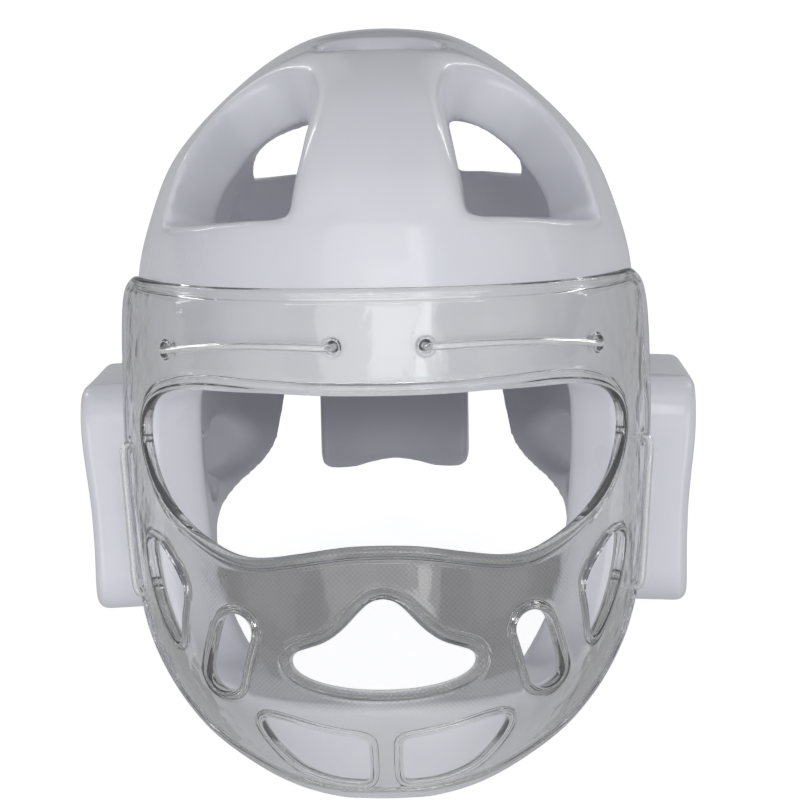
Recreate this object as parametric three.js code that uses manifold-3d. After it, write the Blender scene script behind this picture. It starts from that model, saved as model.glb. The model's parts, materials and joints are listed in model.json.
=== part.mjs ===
// Taekwondo headgear: a dipped-foam helmet with a clear moulded face shield laced onto it.
// Millimetres. Head frame: x to the right in a front view, y to the back, z up, origin between the ears.
// The finished group is leant back until chin and ear pads stand on z = 0.
import * as THREE from 'three';
import { mergeVertices } from 'three/addons/utils/BufferGeometryUtils.js';
import Module from 'manifold-3d';

const wasm = await Module();
wasm.setup();

// Foam shell
const crownHeight = 173.5;
const chinDepth = 95;
const shellHalfWidth = 94;
const shellFront = 121;
const shellBack = 110;
const shellWall = 21;
const squareness = 2.5;
const faceHalfAngle = 53.5;
const browHeight = 50;
const chinGuardTop = 56;
const bridgeHalfWidth = 30;
const ventFloor = 110;
const rearVentFloor = 112;
const topHoleHalfWidth = 21;
const topHoleHalfLength = 25;
const topHoleForward = 22;
const flapHalfWidth = 31;
const flapDrop = 8.5;
const flapNotchDrop = 5;
const rearGapWidth = 12;
const rearGapTop = 58;

// Ear pads
const padLength = 90;
const padHeight = 88;
const padDrop = 2;
const padRear = 62;
const padReach = 113.6;
const padCornerRadius = 17;
const padEdgeRadius = 4;
const padLean = 2.6;
const earHoleHalfLength = 13;
const earHoleHalfHeight = 19;
const earHoleBack = 14;

// Face shield
const shieldThickness = 2.5;
const shieldTop = 87;
const shieldBottom = 92;
const shieldHalfAngle = 70;
const shieldStandOff = 8;
const beadRadius = 1.7;
const rimBeadWidth = 4;
const rimBeadRise = 1.2;
const eyeHalfWidth = 84.5;
const eyeTop = 51;
const eyeHeight = 51;
const mouthHalfWidth = 31.5;
const mouthTop = 17;
const mouthHeight = 31;
const slotWidth = 11.5;
const slotLength = 29;
const slotOut = 53;
const slotMiddle = 38;
const slotLean = 14;
const cheekHeight = 35;
const cheekTop = 5;
const cheekReach = 84;
const chinHoleHeight = 24;
const chinHoleTop = 60;
const chinBarHalfWidth = 6;

// Lacing ties
const tieDiameter = 2.6;
const knotRadius = 2.5;
const tieHoleRoom = 1.2;
const tieClearance = 1.15;
const browTieInner = 16;
const browTieOuter = 75.5;
const browTieHeight = 67;
const sideTieTop = 24;
const sideTieBottom = 31;
const sideTieAngle = 59.5;

// Clearances and how it stands
const clearance = 0.45;
const contactDepth = 94;
const contactForward = 94;
const settle = 0.5;

// Fineness of the faceted surfaces
const shellSides = 40;
const shieldColumns = 17;
const shieldRows = 13;
const tieSides = 8;
const tieSteps = 20;
const farAway = 240;

// Sections of the shell from crown to jaw. height is a share of crownHeight above the ears and of
// chinDepth below them; width, front and back are shares of the shell's three half sizes.
// side and nose are the shares of shieldStandOff by which the shield stands off the shell there.
const sections = [
  { height: 1.0, width: 0.0, front: 0.0, back: 0.0, side: 0.15, nose: 0.0 },
  { height: 0.997, width: 0.105, front: 0.13, back: 0.14, side: 0.15, nose: 0.0 },
  { height: 0.985, width: 0.261, front: 0.31, back: 0.33, side: 0.15, nose: 0.0 },
  { height: 0.955, width: 0.385, front: 0.46, back: 0.47, side: 0.15, nose: 0.0 },
  { height: 0.915, width: 0.498, front: 0.585, back: 0.6, side: 0.15, nose: 0.0 },
  { height: 0.87, width: 0.597, front: 0.7, back: 0.715, side: 0.15, nose: 0.0 },
  { height: 0.8, width: 0.731, front: 0.81, back: 0.83, side: 0.15, nose: 0.0 },
  { height: 0.72, width: 0.846, front: 0.895, back: 0.915, side: 0.15, nose: 0.0 },
  { height: 0.63, width: 0.915, front: 0.95, back: 0.965, side: 0.15, nose: 0.0 },
  { height: 0.49, width: 0.985, front: 0.98, back: 0.99, side: 0.18, nose: 0.0 },
  { height: 0.27, width: 0.997, front: 1.0, back: 1.0, side: 0.22, nose: 0.12 },
  { height: 0.1, width: 0.99, front: 1.022, back: 0.99, side: 0.26, nose: 0.3 },
  { height: -0.03, width: 0.97, front: 1.045, back: 0.97, side: 0.32, nose: 0.56 },
  { height: -0.25, width: 0.94, front: 1.075, back: 0.94, side: 0.48, nose: 0.75 },
  { height: -0.46, width: 0.89, front: 1.08, back: 0.9, side: 0.6, nose: 0.8 },
  { height: -0.6, width: 0.83, front: 1.055, back: 0.86, side: 0.67, nose: 0.85 },
  { height: -0.75, width: 0.745, front: 1.0, back: 0.8, side: 0.67, nose: 0.87 },
  { height: -0.9, width: 0.64, front: 0.925, back: 0.7, side: 0.6, nose: 0.87 },
  { height: -1.0, width: 0.56, front: 0.865, back: 0.62, side: 0.6, nose: 0.9 },
  { height: -1.12, width: 0.46, front: 0.8, back: 0.52, side: 0.5, nose: 0.9 },
];
const sizeOf = { width: shellHalfWidth, front: shellFront, back: shellBack };
const stepsPerSection = 5;

// Curves worked out from the tables
const degrees = THREE.MathUtils.degToRad;

function heightOf(share) {
  return share > 0 ? share * crownHeight : share * chinDepth;
}

// Points (r, z) of one column's profile from crown to jaw, moved inwards by inset along their normals.
function profile(column, inset) {
  const corners = sections.map((s) => new THREE.Vector2(s[column] * sizeOf[column], heightOf(s.height)));
  const curve = new THREE.SplineCurve(corners);
  const steps = (sections.length - 1) * stepsPerSection;
  return Array.from({ length: steps + 1 }, (_, i) => {
    const point = curve.getPoint(i / steps);
    const tangent = curve.getTangent(i / steps);
    return new THREE.Vector2(point.x + inset * tangent.y, point.y - inset * tangent.x);
  });
}

function makeReader(inset) {
  const profiles = Object.fromEntries(Object.keys(sizeOf).map((name) => [name, profile(name, inset)]));
  return (column, z) => {
    const points = profiles[column];
    const next = points.findIndex((p) => p.y <= z);
    if (next === -1) return Math.max(points[points.length - 1].x, 1);
    if (next === 0) return 1;
    const [a, b] = [points[next - 1], points[next]];
    return Math.max(a.x + ((b.x - a.x) * (a.y - z)) / (a.y - b.y), 1);
  };
}

function column(name, z) {
  const next = Math.max(sections.findIndex((s) => heightOf(s.height) <= z), 1);
  const [a, b] = [sections[next - 1], sections[next]];
  const share = (heightOf(a.height) - z) / (heightOf(a.height) - heightOf(b.height));
  return a[name] + (b[name] - a[name]) * THREE.MathUtils.clamp(share, 0, 1);
}

// Radius at an angle from the front of an oval with the given half width and half depth.
function ovalRadius(angle, halfWidth, halfDepth) {
  const across = Math.pow(Math.abs(Math.sin(angle)) / halfWidth, squareness);
  const along = Math.pow(Math.abs(Math.cos(angle)) / halfDepth, squareness);
  return Math.pow(across + along, -1 / squareness);
}

function onCircle(angle, radius, z) {
  return new THREE.Vector3(radius * Math.sin(angle), -radius * Math.cos(angle), z);
}

const outerShell = makeReader(0);
const innerShell = makeReader(shellWall);

function shellPoint(read, angle, z) {
  const depth = Math.cos(angle) > 0 ? read('front', z) : read('back', z);
  return onCircle(angle, ovalRadius(angle, read('width', z), depth), z);
}

// A point of the shield, lift outwards from its inner face.
function shieldPoint(angle, z, lift) {
  const halfWidth = outerShell('width', z) + clearance + column('side', z) * shieldStandOff + lift;
  const halfDepth = outerShell('front', z) + clearance + column('nose', z) * shieldStandOff + lift;
  return onCircle(angle, ovalRadius(angle, halfWidth, halfDepth), z);
}

// Solids from meshes
function toSolid(geometry) {
  const bare = new THREE.BufferGeometry();
  bare.setAttribute('position', geometry.getAttribute('position').clone());
  if (geometry.index) bare.setIndex(geometry.index.clone());
  const merged = mergeVertices(bare, 1e-4);
  return new wasm.Manifold(new wasm.Mesh({
    numProp: 3,
    vertProperties: new Float32Array(merged.getAttribute('position').array),
    triVerts: new Uint32Array(merged.index.array),
  }));
}

function toGeometry(solid) {
  const mesh = solid.getMesh();
  const geometry = new THREE.BufferGeometry();
  geometry.setAttribute('position', new THREE.BufferAttribute(mesh.vertProperties, 3));
  geometry.setIndex(new THREE.BufferAttribute(mesh.triVerts, 1));
  geometry.computeVertexNormals();
  return geometry;
}

function fromTriangles(points, triangles) {
  const geometry = new THREE.BufferGeometry();
  geometry.setAttribute('position', new THREE.Float32BufferAttribute(points.flatMap((p) => p.toArray()), 3));
  geometry.setIndex(triangles.flat());
  return toSolid(geometry);
}

// A closed body through rings of equal length, first ring on top, with a flat lid on each end.
function loftRings(rings) {
  const sides = rings[0].length;
  const middle = (ring) => ring.reduce((sum, p) => sum.add(p), new THREE.Vector3()).divideScalar(sides);
  const points = [...rings.flat(), middle(rings[0]), middle(rings[rings.length - 1])];
  const top = rings.length * sides;
  const last = top - sides;
  const triangles = [];
  for (let i = 0; i < sides; i += 1) {
    const j = (i + 1) % sides;
    triangles.push([top, i, j], [top + 1, last + j, last + i]);
    for (let row = 0; row < last; row += sides) {
      triangles.push([row + i, row + sides + i, row + j], [row + j, row + sides + i, row + sides + j]);
    }
  }
  return fromTriangles(points, triangles);
}

function loftShell(read, heights) {
  return loftRings(heights.map((z) => Array.from({ length: shellSides }, (_, i) =>
    shellPoint(read, (i / shellSides) * 2 * Math.PI, z))));
}

// A cutter whose flat outline is carried through a row of layers, the innermost one first.
function cutter(outline, layers) {
  const flat = THREE.ShapeUtils.isClockWise(outline) ? [...outline].reverse() : outline;
  const faces = THREE.ShapeUtils.triangulateShape(flat, []);
  const count = flat.length;
  const last = (layers.length - 1) * count;
  const triangles = faces.flatMap(([a, b, c]) => [[a, c, b], [last + a, last + b, last + c]]);
  flat.forEach((_, i) => {
    const j = (i + 1) % count;
    for (let row = 0; row < last; row += count) {
      triangles.push([row + i, row + j, row + count + i], [row + j, row + count + j, row + count + i]);
    }
  });
  const points = layers.flatMap((place) => flat.map(place));
  const solid = fromTriangles(points, triangles);
  return solid.volume() > 0 ? solid : fromTriangles(points, triangles.map(([a, b, c]) => [a, c, b]));
}

function smoothOutline(points, count) {
  const curve = new THREE.CatmullRomCurve3(points.map(([x, y]) => new THREE.Vector3(x, y, 0)), true);
  return curve.getPoints(count).slice(0, count).map((p) => new THREE.Vector2(p.x, p.y));
}

function mirrored(outline) {
  return outline.map((p) => new THREE.Vector2(-p.x, p.y));
}

// Cuts from the middle of the head to the front or the back along a front view outline (x, z).
function straightCut(outline, way) {
  return cutter(outline, [0, way * farAway].map((y) => (p) => new THREE.Vector3(p.x, y, p.y)));
}

// Cuts straight out from the upright axis: outline (degrees from the front, z).
const cutRadii = [25, 50, 68, 84, 104, 128, farAway];
function radialCut(outline) {
  return cutter(outline, cutRadii.map((radius) => (p) => onCircle(degrees(p.x), radius, p.y)));
}

// Cuts along rays from the middle of the head through points of the shell's surface.
const headMiddle = new THREE.Vector3(0, 0, crownHeight / 2);
const rayShares = [0.3, 1.5];
function rayCut(outline, surfaceOf) {
  return cutter(outline, rayShares.map((share) => (p) => headMiddle.clone().lerp(surfaceOf(p), share)));
}

// Foam shell
// Heights of the shell's rings, as shares of its height above the ears and of its depth below them.
const ringShares = [1, 0.985, 0.94, 0.87, 0.78, 0.66, 0.5, 0.3, 0.08, -0.15, -0.38, -0.6, -0.8, -1.08];
function ringHeights(height, depth) {
  return ringShares.map((share) => share * (share > 0 ? height : depth));
}

// Vents: x runs from bridgeHalfWidth at 0 to shellHalfWidth at 1, z from the vent's floor at 0 to the
// crown at 1.
const ventOutline = [
  [-0.099, 0.79], [0.003, 0.8], [0.127, 0.775], [0.28, 0.68], [0.425, 0.54], [0.556, 0.37],
  [0.643, 0.19], [0.694, 0.0], [0.694, -0.075], [0.563, -0.07], [0.272, -0.03], [0.032, 0.0],
  [-0.011, 0.03], [-0.048, 0.2], [-0.106, 0.46], [-0.15, 0.66],
];
const rearVentOutline = [
  [-0.019, 0.02], [0.272, 0.0], [0.549, 0.02], [0.629, 0.1], [0.593, 0.3], [0.454, 0.49],
  [0.243, 0.62], [0.025, 0.67], [-0.091, 0.6], [-0.077, 0.3],
];
const ventCorners = 22;
const widestShare = 0.97;

function ventCut(outline, floor, side, front) {
  const flat = smoothOutline(outline, ventCorners).map((p) => new THREE.Vector2(
    side * THREE.MathUtils.lerp(bridgeHalfWidth, shellHalfWidth, p.x),
    THREE.MathUtils.lerp(floor, crownHeight, p.y),
  ));
  return rayCut(flat, (p) => {
    const halfWidth = outerShell('width', p.y);
    const depth = outerShell(front ? 'front' : 'back', p.y);
    const share = Math.min(Math.abs(p.x) / halfWidth, widestShare);
    const y = depth * (1 - share ** squareness) ** (1 / squareness);
    return new THREE.Vector3(p.x, front ? -y : y, p.y);
  });
}

function topHoleCut() {
  const ring = new THREE.EllipseCurve(0, -topHoleForward, topHoleHalfWidth, topHoleHalfLength);
  const count = 16;
  return rayCut(ring.getPoints(count).slice(0, count), (p) => new THREE.Vector3(p.x, p.y, crownHeight));
}

// Half of the face opening: angle as a share of faceHalfAngle, z from 0 at its bottom to 1 at the brow.
const faceHalf = [
  [0.0, 1.0], [0.45, 1.0], [0.8, 0.985], [0.94, 0.94], [0.99, 0.85], [1.0, 0.7], [1.0, 0.4], [0.98, 0.24],
  [0.94, 0.13], [0.86, 0.055], [0.72, 0.01], [0.5, 0.0], [0.0, 0.0],
];

function faceCut() {
  const right = faceHalf.map(([share, up]) => new THREE.Vector2(
    share * faceHalfAngle,
    -chinGuardTop + up * (browHeight + chinGuardTop),
  ));
  const left = mirrored(right.slice(1, -1)).reverse();
  return radialCut([...right, ...left]);
}

// The hem from the jaw round to the back: angle from the front, z as a share of chinDepth.
const hem = [
  [26, -1.03], [35, -0.97], [45, -0.86], [55, -0.7], [65, -0.53], [75, -0.39], [85, -0.275], [96, -0.19],
  [110, -0.135], [123, -0.09], [134, -0.045], [141, 0.01], [146, 0.1], [149, 0.22], [151.5, 0.4], [154, 0.52],
  [158, 0.58],
];

function hemCut(side) {
  const line = hem.map(([angle, share]) => new THREE.Vector2(side * angle, share * chinDepth));
  const ends = [hem[hem.length - 1], hem[0]]
    .map(([angle]) => new THREE.Vector2(side * angle, -2 * chinDepth));
  return radialCut([...line, ...ends]);
}

// Half of the cut below and beside the flap, from its middle: x as a share of flapHalfWidth,
// z as a share of the way down from the notch to the lobe.
const flapEdgeHalf = [
  [0.0, 0.0], [0.25, 0.3], [0.5, 0.85], [0.7, 1.0], [0.87, 0.85], [0.97, 0.4], [1.0, -0.5],
];
// Rear gap beyond the flap: x as a share of rearGapWidth, z as a share of rearGapTop.
const rearGap = [[0.0, 0.9], [0.25, 0.985], [0.5, 1.0], [0.75, 0.985], [1.0, 0.9], [1.05, 0.55], [1.3, 0.2]];

function flapCut() {
  const edge = flapEdgeHalf.map(([share, drop]) => new THREE.Vector2(
    share * flapHalfWidth,
    -THREE.MathUtils.lerp(flapNotchDrop, flapDrop, drop),
  ));
  const gap = rearGap.map(([across, up]) => new THREE.Vector2(
    flapHalfWidth + across * rearGapWidth,
    up * rearGapTop,
  ));
  const right = [...edge, ...gap, new THREE.Vector2(gap[gap.length - 1].x, -2 * chinDepth)];
  return straightCut([...right, ...mirrored(right.slice(1)).reverse()], 1);
}

function earHoleCut() {
  const ring = new THREE.EllipseCurve(earHoleBack, -padDrop, earHoleHalfLength, earHoleHalfHeight);
  const count = 14;
  const outline = ring.getPoints(count).slice(0, count);
  return cutter(outline, [-farAway, farAway].map((x) => (p) => new THREE.Vector3(x, p.x, p.y)));
}

// The plane that the headgear stands on passes through the chin and touches the ear pads' rear corners.
const padMiddle = new THREE.Vector2(padRear - padCornerRadius, padCornerRadius - padHeight / 2 - padDrop);
const chinContact = new THREE.Vector2(-contactForward, -contactDepth);
const chinToPad = padMiddle.clone().sub(chinContact);
const restTilt = chinToPad.angle() - Math.asin(padCornerRadius / chinToPad.length());

function belowFloor() {
  const block = new THREE.BoxGeometry(2 * farAway, 2 * farAway, farAway);
  block.translate(0, 0, settle - farAway / 2);
  block.rotateX(restTilt);
  block.translate(0, chinContact.x, chinContact.y);
  return toSolid(block);
}

const outerHeights = ringHeights(crownHeight, chinDepth);

function makeShell() {
  const outer = loftShell(outerShell, outerHeights);
  const inner = loftShell(innerShell, ringHeights(crownHeight - shellWall, chinDepth + shellWall));
  const cuts = [
    inner, faceCut(), topHoleCut(), earHoleCut(), hemCut(1), hemCut(-1), flapCut(), belowFloor(),
    ventCut(ventOutline, ventFloor, 1, true), ventCut(ventOutline, ventFloor, -1, true),
    ventCut(rearVentOutline, rearVentFloor, 1, false), ventCut(rearVentOutline, rearVentFloor, -1, false),
  ];
  return cuts.reduce((solid, cut) => solid.subtract(cut), outer);
}

// Ear pads
function padBlock() {
  const [low, high] = [-padHeight / 2, padHeight / 2];
  const [front, rear] = [padRear - padLength, padRear];
  const round = padCornerRadius - padEdgeRadius;
  const inset = padEdgeRadius;
  const outline = new THREE.Shape();
  outline.absarc(rear - inset - round, high - inset - round, round, 0, Math.PI / 2);
  outline.absarc(front + inset + round, high - inset - round, round, Math.PI / 2, Math.PI);
  outline.absarc(front + inset + round, low + inset + round, round, Math.PI, 1.5 * Math.PI);
  outline.absarc(rear - inset - round, low + inset + round, round, 1.5 * Math.PI, 2 * Math.PI);
  const depth = padReach - shellHalfWidth + shellWall / 2;
  const block = new THREE.ExtrudeGeometry(outline, {
    depth, curveSegments: 4, bevelThickness: padEdgeRadius, bevelSize: padEdgeRadius, bevelSegments: 2,
  });
  block.rotateX(Math.PI / 2);
  block.rotateZ(Math.PI / 2);
  block.translate(-padEdgeRadius - depth, 0, 0);
  block.rotateY(degrees(padLean));
  block.translate(padReach, 0, -padDrop);
  return block;
}

function makePad(side) {
  const block = toSolid(padBlock());
  const shellSkin = loftShell(makeReader(-clearance), outerHeights);
  const right = block.subtract(shellSkin).subtract(earHoleCut()).subtract(belowFloor());
  return side > 0 ? right : right.mirror([1, 0, 0]);
}

// Face shield: half angle of its rear edge at heights from its bottom to its top.
const rearEdge = [
  { up: 0.0, share: 0.1 }, { up: 0.012, share: 0.19 }, { up: 0.03, share: 0.27 }, { up: 0.06, share: 0.37 },
  { up: 0.1, share: 0.52 }, { up: 0.16, share: 0.66 }, { up: 0.24, share: 0.77 }, { up: 0.34, share: 0.86 },
  { up: 0.44, share: 0.93 }, { up: 0.56, share: 0.985 }, { up: 0.7, share: 1.0 }, { up: 0.84, share: 0.985 },
  { up: 0.93, share: 0.95 },
  { up: 0.975, share: 0.89 }, { up: 1.0, share: 0.8 },
];

function rearEdgeAngle(up) {
  const next = Math.max(rearEdge.findIndex((row) => row.up >= up), 1);
  const [a, b] = [rearEdge[next - 1], rearEdge[next]];
  const share = a.share + ((b.share - a.share) * (up - a.up)) / (b.up - a.up);
  return degrees(shieldHalfAngle * share);
}

function shieldGridPoint(across, up, lift) {
  const z = -shieldBottom + up * (shieldTop + shieldBottom);
  return shieldPoint(across * rearEdgeAngle(up), z, lift);
}

// Shares along one direction of the shield's grid, with closer lines beside the beaded rim.
function gridShares(count, low, high, size) {
  const inner = Array.from({ length: count - 1 }, (_, i) => low + ((high - low) * (i + 1)) / count);
  const bead = rimBeadWidth / size;
  return [low, low + bead / 2, low + bead, ...inner, high - bead, high - bead / 2, high];
}

function makeShieldPlate() {
  const acrossShares = gridShares(shieldColumns, -1, 1, shellHalfWidth);
  const upShares = gridShares(shieldRows, 0, 1, shieldTop + shieldBottom);
  const wide = acrossShares.length;
  const tall = upShares.length;
  const points = [];
  for (const outside of [true, false]) {
    upShares.forEach((up, row) => acrossShares.forEach((across, i) => {
      const onBead = [1, wide - 2].includes(i) || [1, tall - 2].includes(row);
      const lift = shieldThickness + (onBead ? rimBeadRise : 0);
      points.push(shieldGridPoint(across, up, outside ? lift : 0));
    }));
  }
  const back = wide * tall;
  const triangles = [];
  for (let row = 0; row < tall - 1; row += 1) {
    for (let i = 0; i < wide - 1; i += 1) {
      const a = row * wide + i;
      const b = back + a;
      triangles.push([a, a + 1, a + wide], [a + 1, a + wide + 1, a + wide]);
      triangles.push([b, b + wide, b + 1], [b + 1, b + wide, b + wide + 1]);
    }
  }
  const rim = [
    ...Array.from({ length: wide - 1 }, (_, i) => i),
    ...Array.from({ length: tall - 1 }, (_, row) => row * wide + wide - 1),
    ...Array.from({ length: wide - 1 }, (_, i) => back - 1 - i),
    ...Array.from({ length: tall - 1 }, (_, row) => (tall - 1 - row) * wide),
  ];
  rim.forEach((a, i) => {
    const b = rim[(i + 1) % rim.length];
    triangles.push([a, back + a, b], [b, back + a, back + b]);
  });
  return fromTriangles(points, triangles);
}

// Right halves of the eye and mouth openings: x and z as shares of the opening's half width and height,
// z measured down from its top.
const eyeHalf = [
  [0.0, 0.01], [0.25, 0.005], [0.5, -0.01], [0.72, -0.02], [0.86, 0.025], [0.945, 0.11], [0.99, 0.25],
  [0.99, 0.42], [0.955, 0.61], [0.885, 0.79], [0.79, 0.92], [0.68, 1.02], [0.58, 1.075], [0.48, 1.08],
  [0.34, 1.045], [0.16, 1.0], [0.0, 0.99],
];
const mouthHalf = [
  [0.0, 0.0], [0.13, 0.03], [0.25, 0.13], [0.37, 0.26], [0.5, 0.38], [0.64, 0.47], [0.8, 0.53], [0.95, 0.59],
  [1.0, 0.69], [0.94, 0.8], [0.8, 0.88], [0.6, 0.94], [0.32, 0.985], [0.0, 1.0],
];

function bothHalves(half, halfWidth, top, height) {
  const right = half.map(([x, z]) => new THREE.Vector2(x * halfWidth, top - z * height));
  return [...right, ...mirrored(right.slice(1, -1)).reverse()];
}

function slotOutline(side) {
  const half = slotLength / 2 - slotWidth / 2;
  const outline = new THREE.Shape();
  outline.absarc(0, half, slotWidth / 2, 0, Math.PI);
  outline.absarc(0, -half, slotWidth / 2, Math.PI, 2 * Math.PI);
  return outline.getPoints(5)
    .map((p) => p.rotateAround(new THREE.Vector2(), degrees(slotLean)))
    .map((p) => new THREE.Vector2(side * (slotOut + p.x), p.y - slotMiddle));
}

// Cheek opening: x back from cheekReach and z down from cheekTop, both as shares of cheekHeight.
const cheekOutline = [
  [0.0, 0.03], [0.12, 0.0], [0.25, 0.13], [0.36, 0.28], [0.41, 0.43], [0.385, 0.65], [0.35, 0.96],
  [0.24, 0.86], [0.12, 0.62], [0.03, 0.33],
];
// Chin opening: x out from the bar and z down from chinHoleTop, both as shares of chinHoleHeight.
const chinHoleOutline = [
  [0.0, 0.42], [0.03, 0.3], [0.38, 0.23], [0.75, 0.15], [1.15, 0.04], [1.45, 0.0], [1.5, 0.09], [1.37, 0.36],
  [1.12, 0.66], [0.86, 0.84], [0.5, 0.96], [0.12, 1.0], [0.0, 0.95],
];

function cheekCut(side) {
  const outline = smoothOutline(cheekOutline, 16).map((p) => new THREE.Vector2(
    side * (cheekReach - p.x * cheekHeight),
    -cheekTop - p.y * cheekHeight,
  ));
  return straightCut(outline, -1);
}

function chinHoleCut(side) {
  const outline = smoothOutline(chinHoleOutline, 18).map((p) => new THREE.Vector2(
    side * (chinBarHalfWidth + p.x * chinHoleHeight),
    -chinHoleTop - p.y * chinHoleHeight,
  ));
  return straightCut(outline, -1);
}

// A bead along a closed line on the shield's outer face.
function bead(points, steps) {
  const path = new THREE.CatmullRomCurve3(points, true);
  return toSolid(new THREE.TubeGeometry(path, steps, beadRadius, 5, true));
}

function onShieldFace(p) {
  const z = p.y;
  let angle = 0;
  for (let pass = 0; pass < 12; pass += 1) {
    const reach = Math.hypot(...shieldPoint(angle, z, beadRadius).toArray().slice(0, 2));
    angle = Math.asin(THREE.MathUtils.clamp(p.x / reach, -1, 1));
  }
  return shieldPoint(angle, z, beadRadius);
}

function makeShield() {
  const eye = bothHalves(eyeHalf, eyeHalfWidth, eyeTop, eyeHeight);
  const mouth = bothHalves(mouthHalf, mouthHalfWidth, -mouthTop, mouthHeight);
  const cuts = [
    straightCut(eye, -1), straightCut(mouth, -1),
    straightCut(slotOutline(1), -1), straightCut(slotOutline(-1), -1),
    cheekCut(1), cheekCut(-1), chinHoleCut(1), chinHoleCut(-1),
  ];
  const plate = cuts.reduce((solid, cut) => solid.subtract(cut), makeShieldPlate());
  const eyeSteps = 36;
  return plate.add(bead(eye.map(onShieldFace), eyeSteps));
}

// Lacing ties: out through shell and shield at one hole, along the shield's face, and back in at the other.
const tieLift = shieldThickness + tieDiameter / 2 + tieClearance;

function tieEnd(place) {
  const outside = shieldPoint(place.angle, place.z, tieLift);
  const inside = shellPoint(innerShell, place.angle, place.z);
  const inwards = inside.clone().sub(outside).normalize();
  return { outside, knot: inside.addScaledVector(inwards, knotRadius + tieClearance) };
}

function tieRoute(from, to) {
  const throughHole = (place) => {
    const { outside, knot } = tieEnd(place);
    return [1, 0.7, 0.4, 0.13].map((share) => outside.clone().lerp(knot, share));
  };
  const bend = 0.03;
  const along = [bend, 0.25, 0.5, 0.75, 1 - bend].map((share) => shieldPoint(
    THREE.MathUtils.lerp(from.angle, to.angle, share),
    THREE.MathUtils.lerp(from.z, to.z, share),
    tieLift,
  ));
  const points = [...throughHole(from), ...along, ...throughHole(to).reverse()];
  return new THREE.CatmullRomCurve3(points, false, 'centripetal');
}

function tieTube(route, diameter, steps) {
  const section = new THREE.Shape();
  section.absarc(0, 0, diameter / 2, 0, 2 * Math.PI);
  const round = new THREE.Shape(section.getPoints(tieSides / 2).slice(0, -1));
  return toSolid(new THREE.ExtrudeGeometry(round, { steps, extrudePath: route }));
}

function makeTie(route) {
  const knots = [0, 1].map((end) => {
    const ball = new THREE.OctahedronGeometry(knotRadius, 1);
    ball.translate(...route.getPointAt(end).toArray());
    return toSolid(ball);
  });
  return knots.reduce((solid, knot) => solid.add(knot), tieTube(route, tieDiameter, tieSteps));
}

function angleAtSide(x, z) {
  const p = onShieldFace(new THREE.Vector2(x, z));
  return Math.atan2(p.x, -p.y);
}

const browEnds = [browTieInner, browTieOuter]
  .map((x) => ({ angle: angleAtSide(x, browTieHeight), z: browTieHeight }));
const sideEnds = [
  { angle: degrees(sideTieAngle + 2), z: sideTieTop },
  { angle: degrees(sideTieAngle - 2), z: -sideTieBottom },
];
const ties = { tie_forehead: browEnds, tie_side: sideEnds };

function tieHole(place) {
  const { outside, knot } = tieEnd(place);
  return tieTube(new THREE.LineCurve3(outside, knot), tieDiameter + 2 * tieHoleRoom, 1);
}

// Assembly
const foamWhite = { color: 0xe4e6ee, roughness: 0.32, metalness: 0 };
const clearPlastic = { color: 0xc9cbc6, roughness: 0.08, metalness: 0, transparent: true, opacity: 0.45 };
const clearCord = { color: 0xd4d6d2, roughness: 0.2, metalness: 0, transparent: true, opacity: 0.7 };

function named(name, solid, look) {
  const mesh = new THREE.Mesh(toGeometry(solid), new THREE.MeshStandardMaterial(look));
  mesh.name = name;
  return mesh;
}

const headgear = new THREE.Group();
const holes = Object.values(ties).flat().flatMap((place) => {
  const hole = tieHole(place);
  return [hole, hole.mirror([1, 0, 0])];
});
const drilled = (solid) => holes.reduce((rest, hole) => rest.subtract(hole), solid);
headgear.add(named('foam_shell', drilled(makeShell()), foamWhite));
headgear.add(named('ear_pad_right', makePad(1), foamWhite));
headgear.add(named('ear_pad_left', makePad(-1), foamWhite));
headgear.add(named('face_shield', drilled(makeShield()), clearPlastic));
for (const [name, ends] of Object.entries(ties)) {
  const tie = makeTie(tieRoute(...ends));
  headgear.add(named(`${name}_right`, tie, clearCord));
  headgear.add(named(`${name}_left`, tie.mirror([1, 0, 0]), clearCord));
}

// Leans it back onto its chin and ear pads, and centres its footprint on the origin
headgear.rotation.x = -restTilt;
headgear.updateMatrixWorld(true);
const extent = new THREE.Box3().setFromObject(headgear, true);
const centre = extent.getCenter(new THREE.Vector3());
headgear.position.set(-centre.x, -centre.y, -extent.min.z);

export default headgear;
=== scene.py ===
import json
import math
import bpy
import numpy as np
from mathutils import Matrix, Vector
from mathutils.geometry import delaunay_2d_cdt

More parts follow.
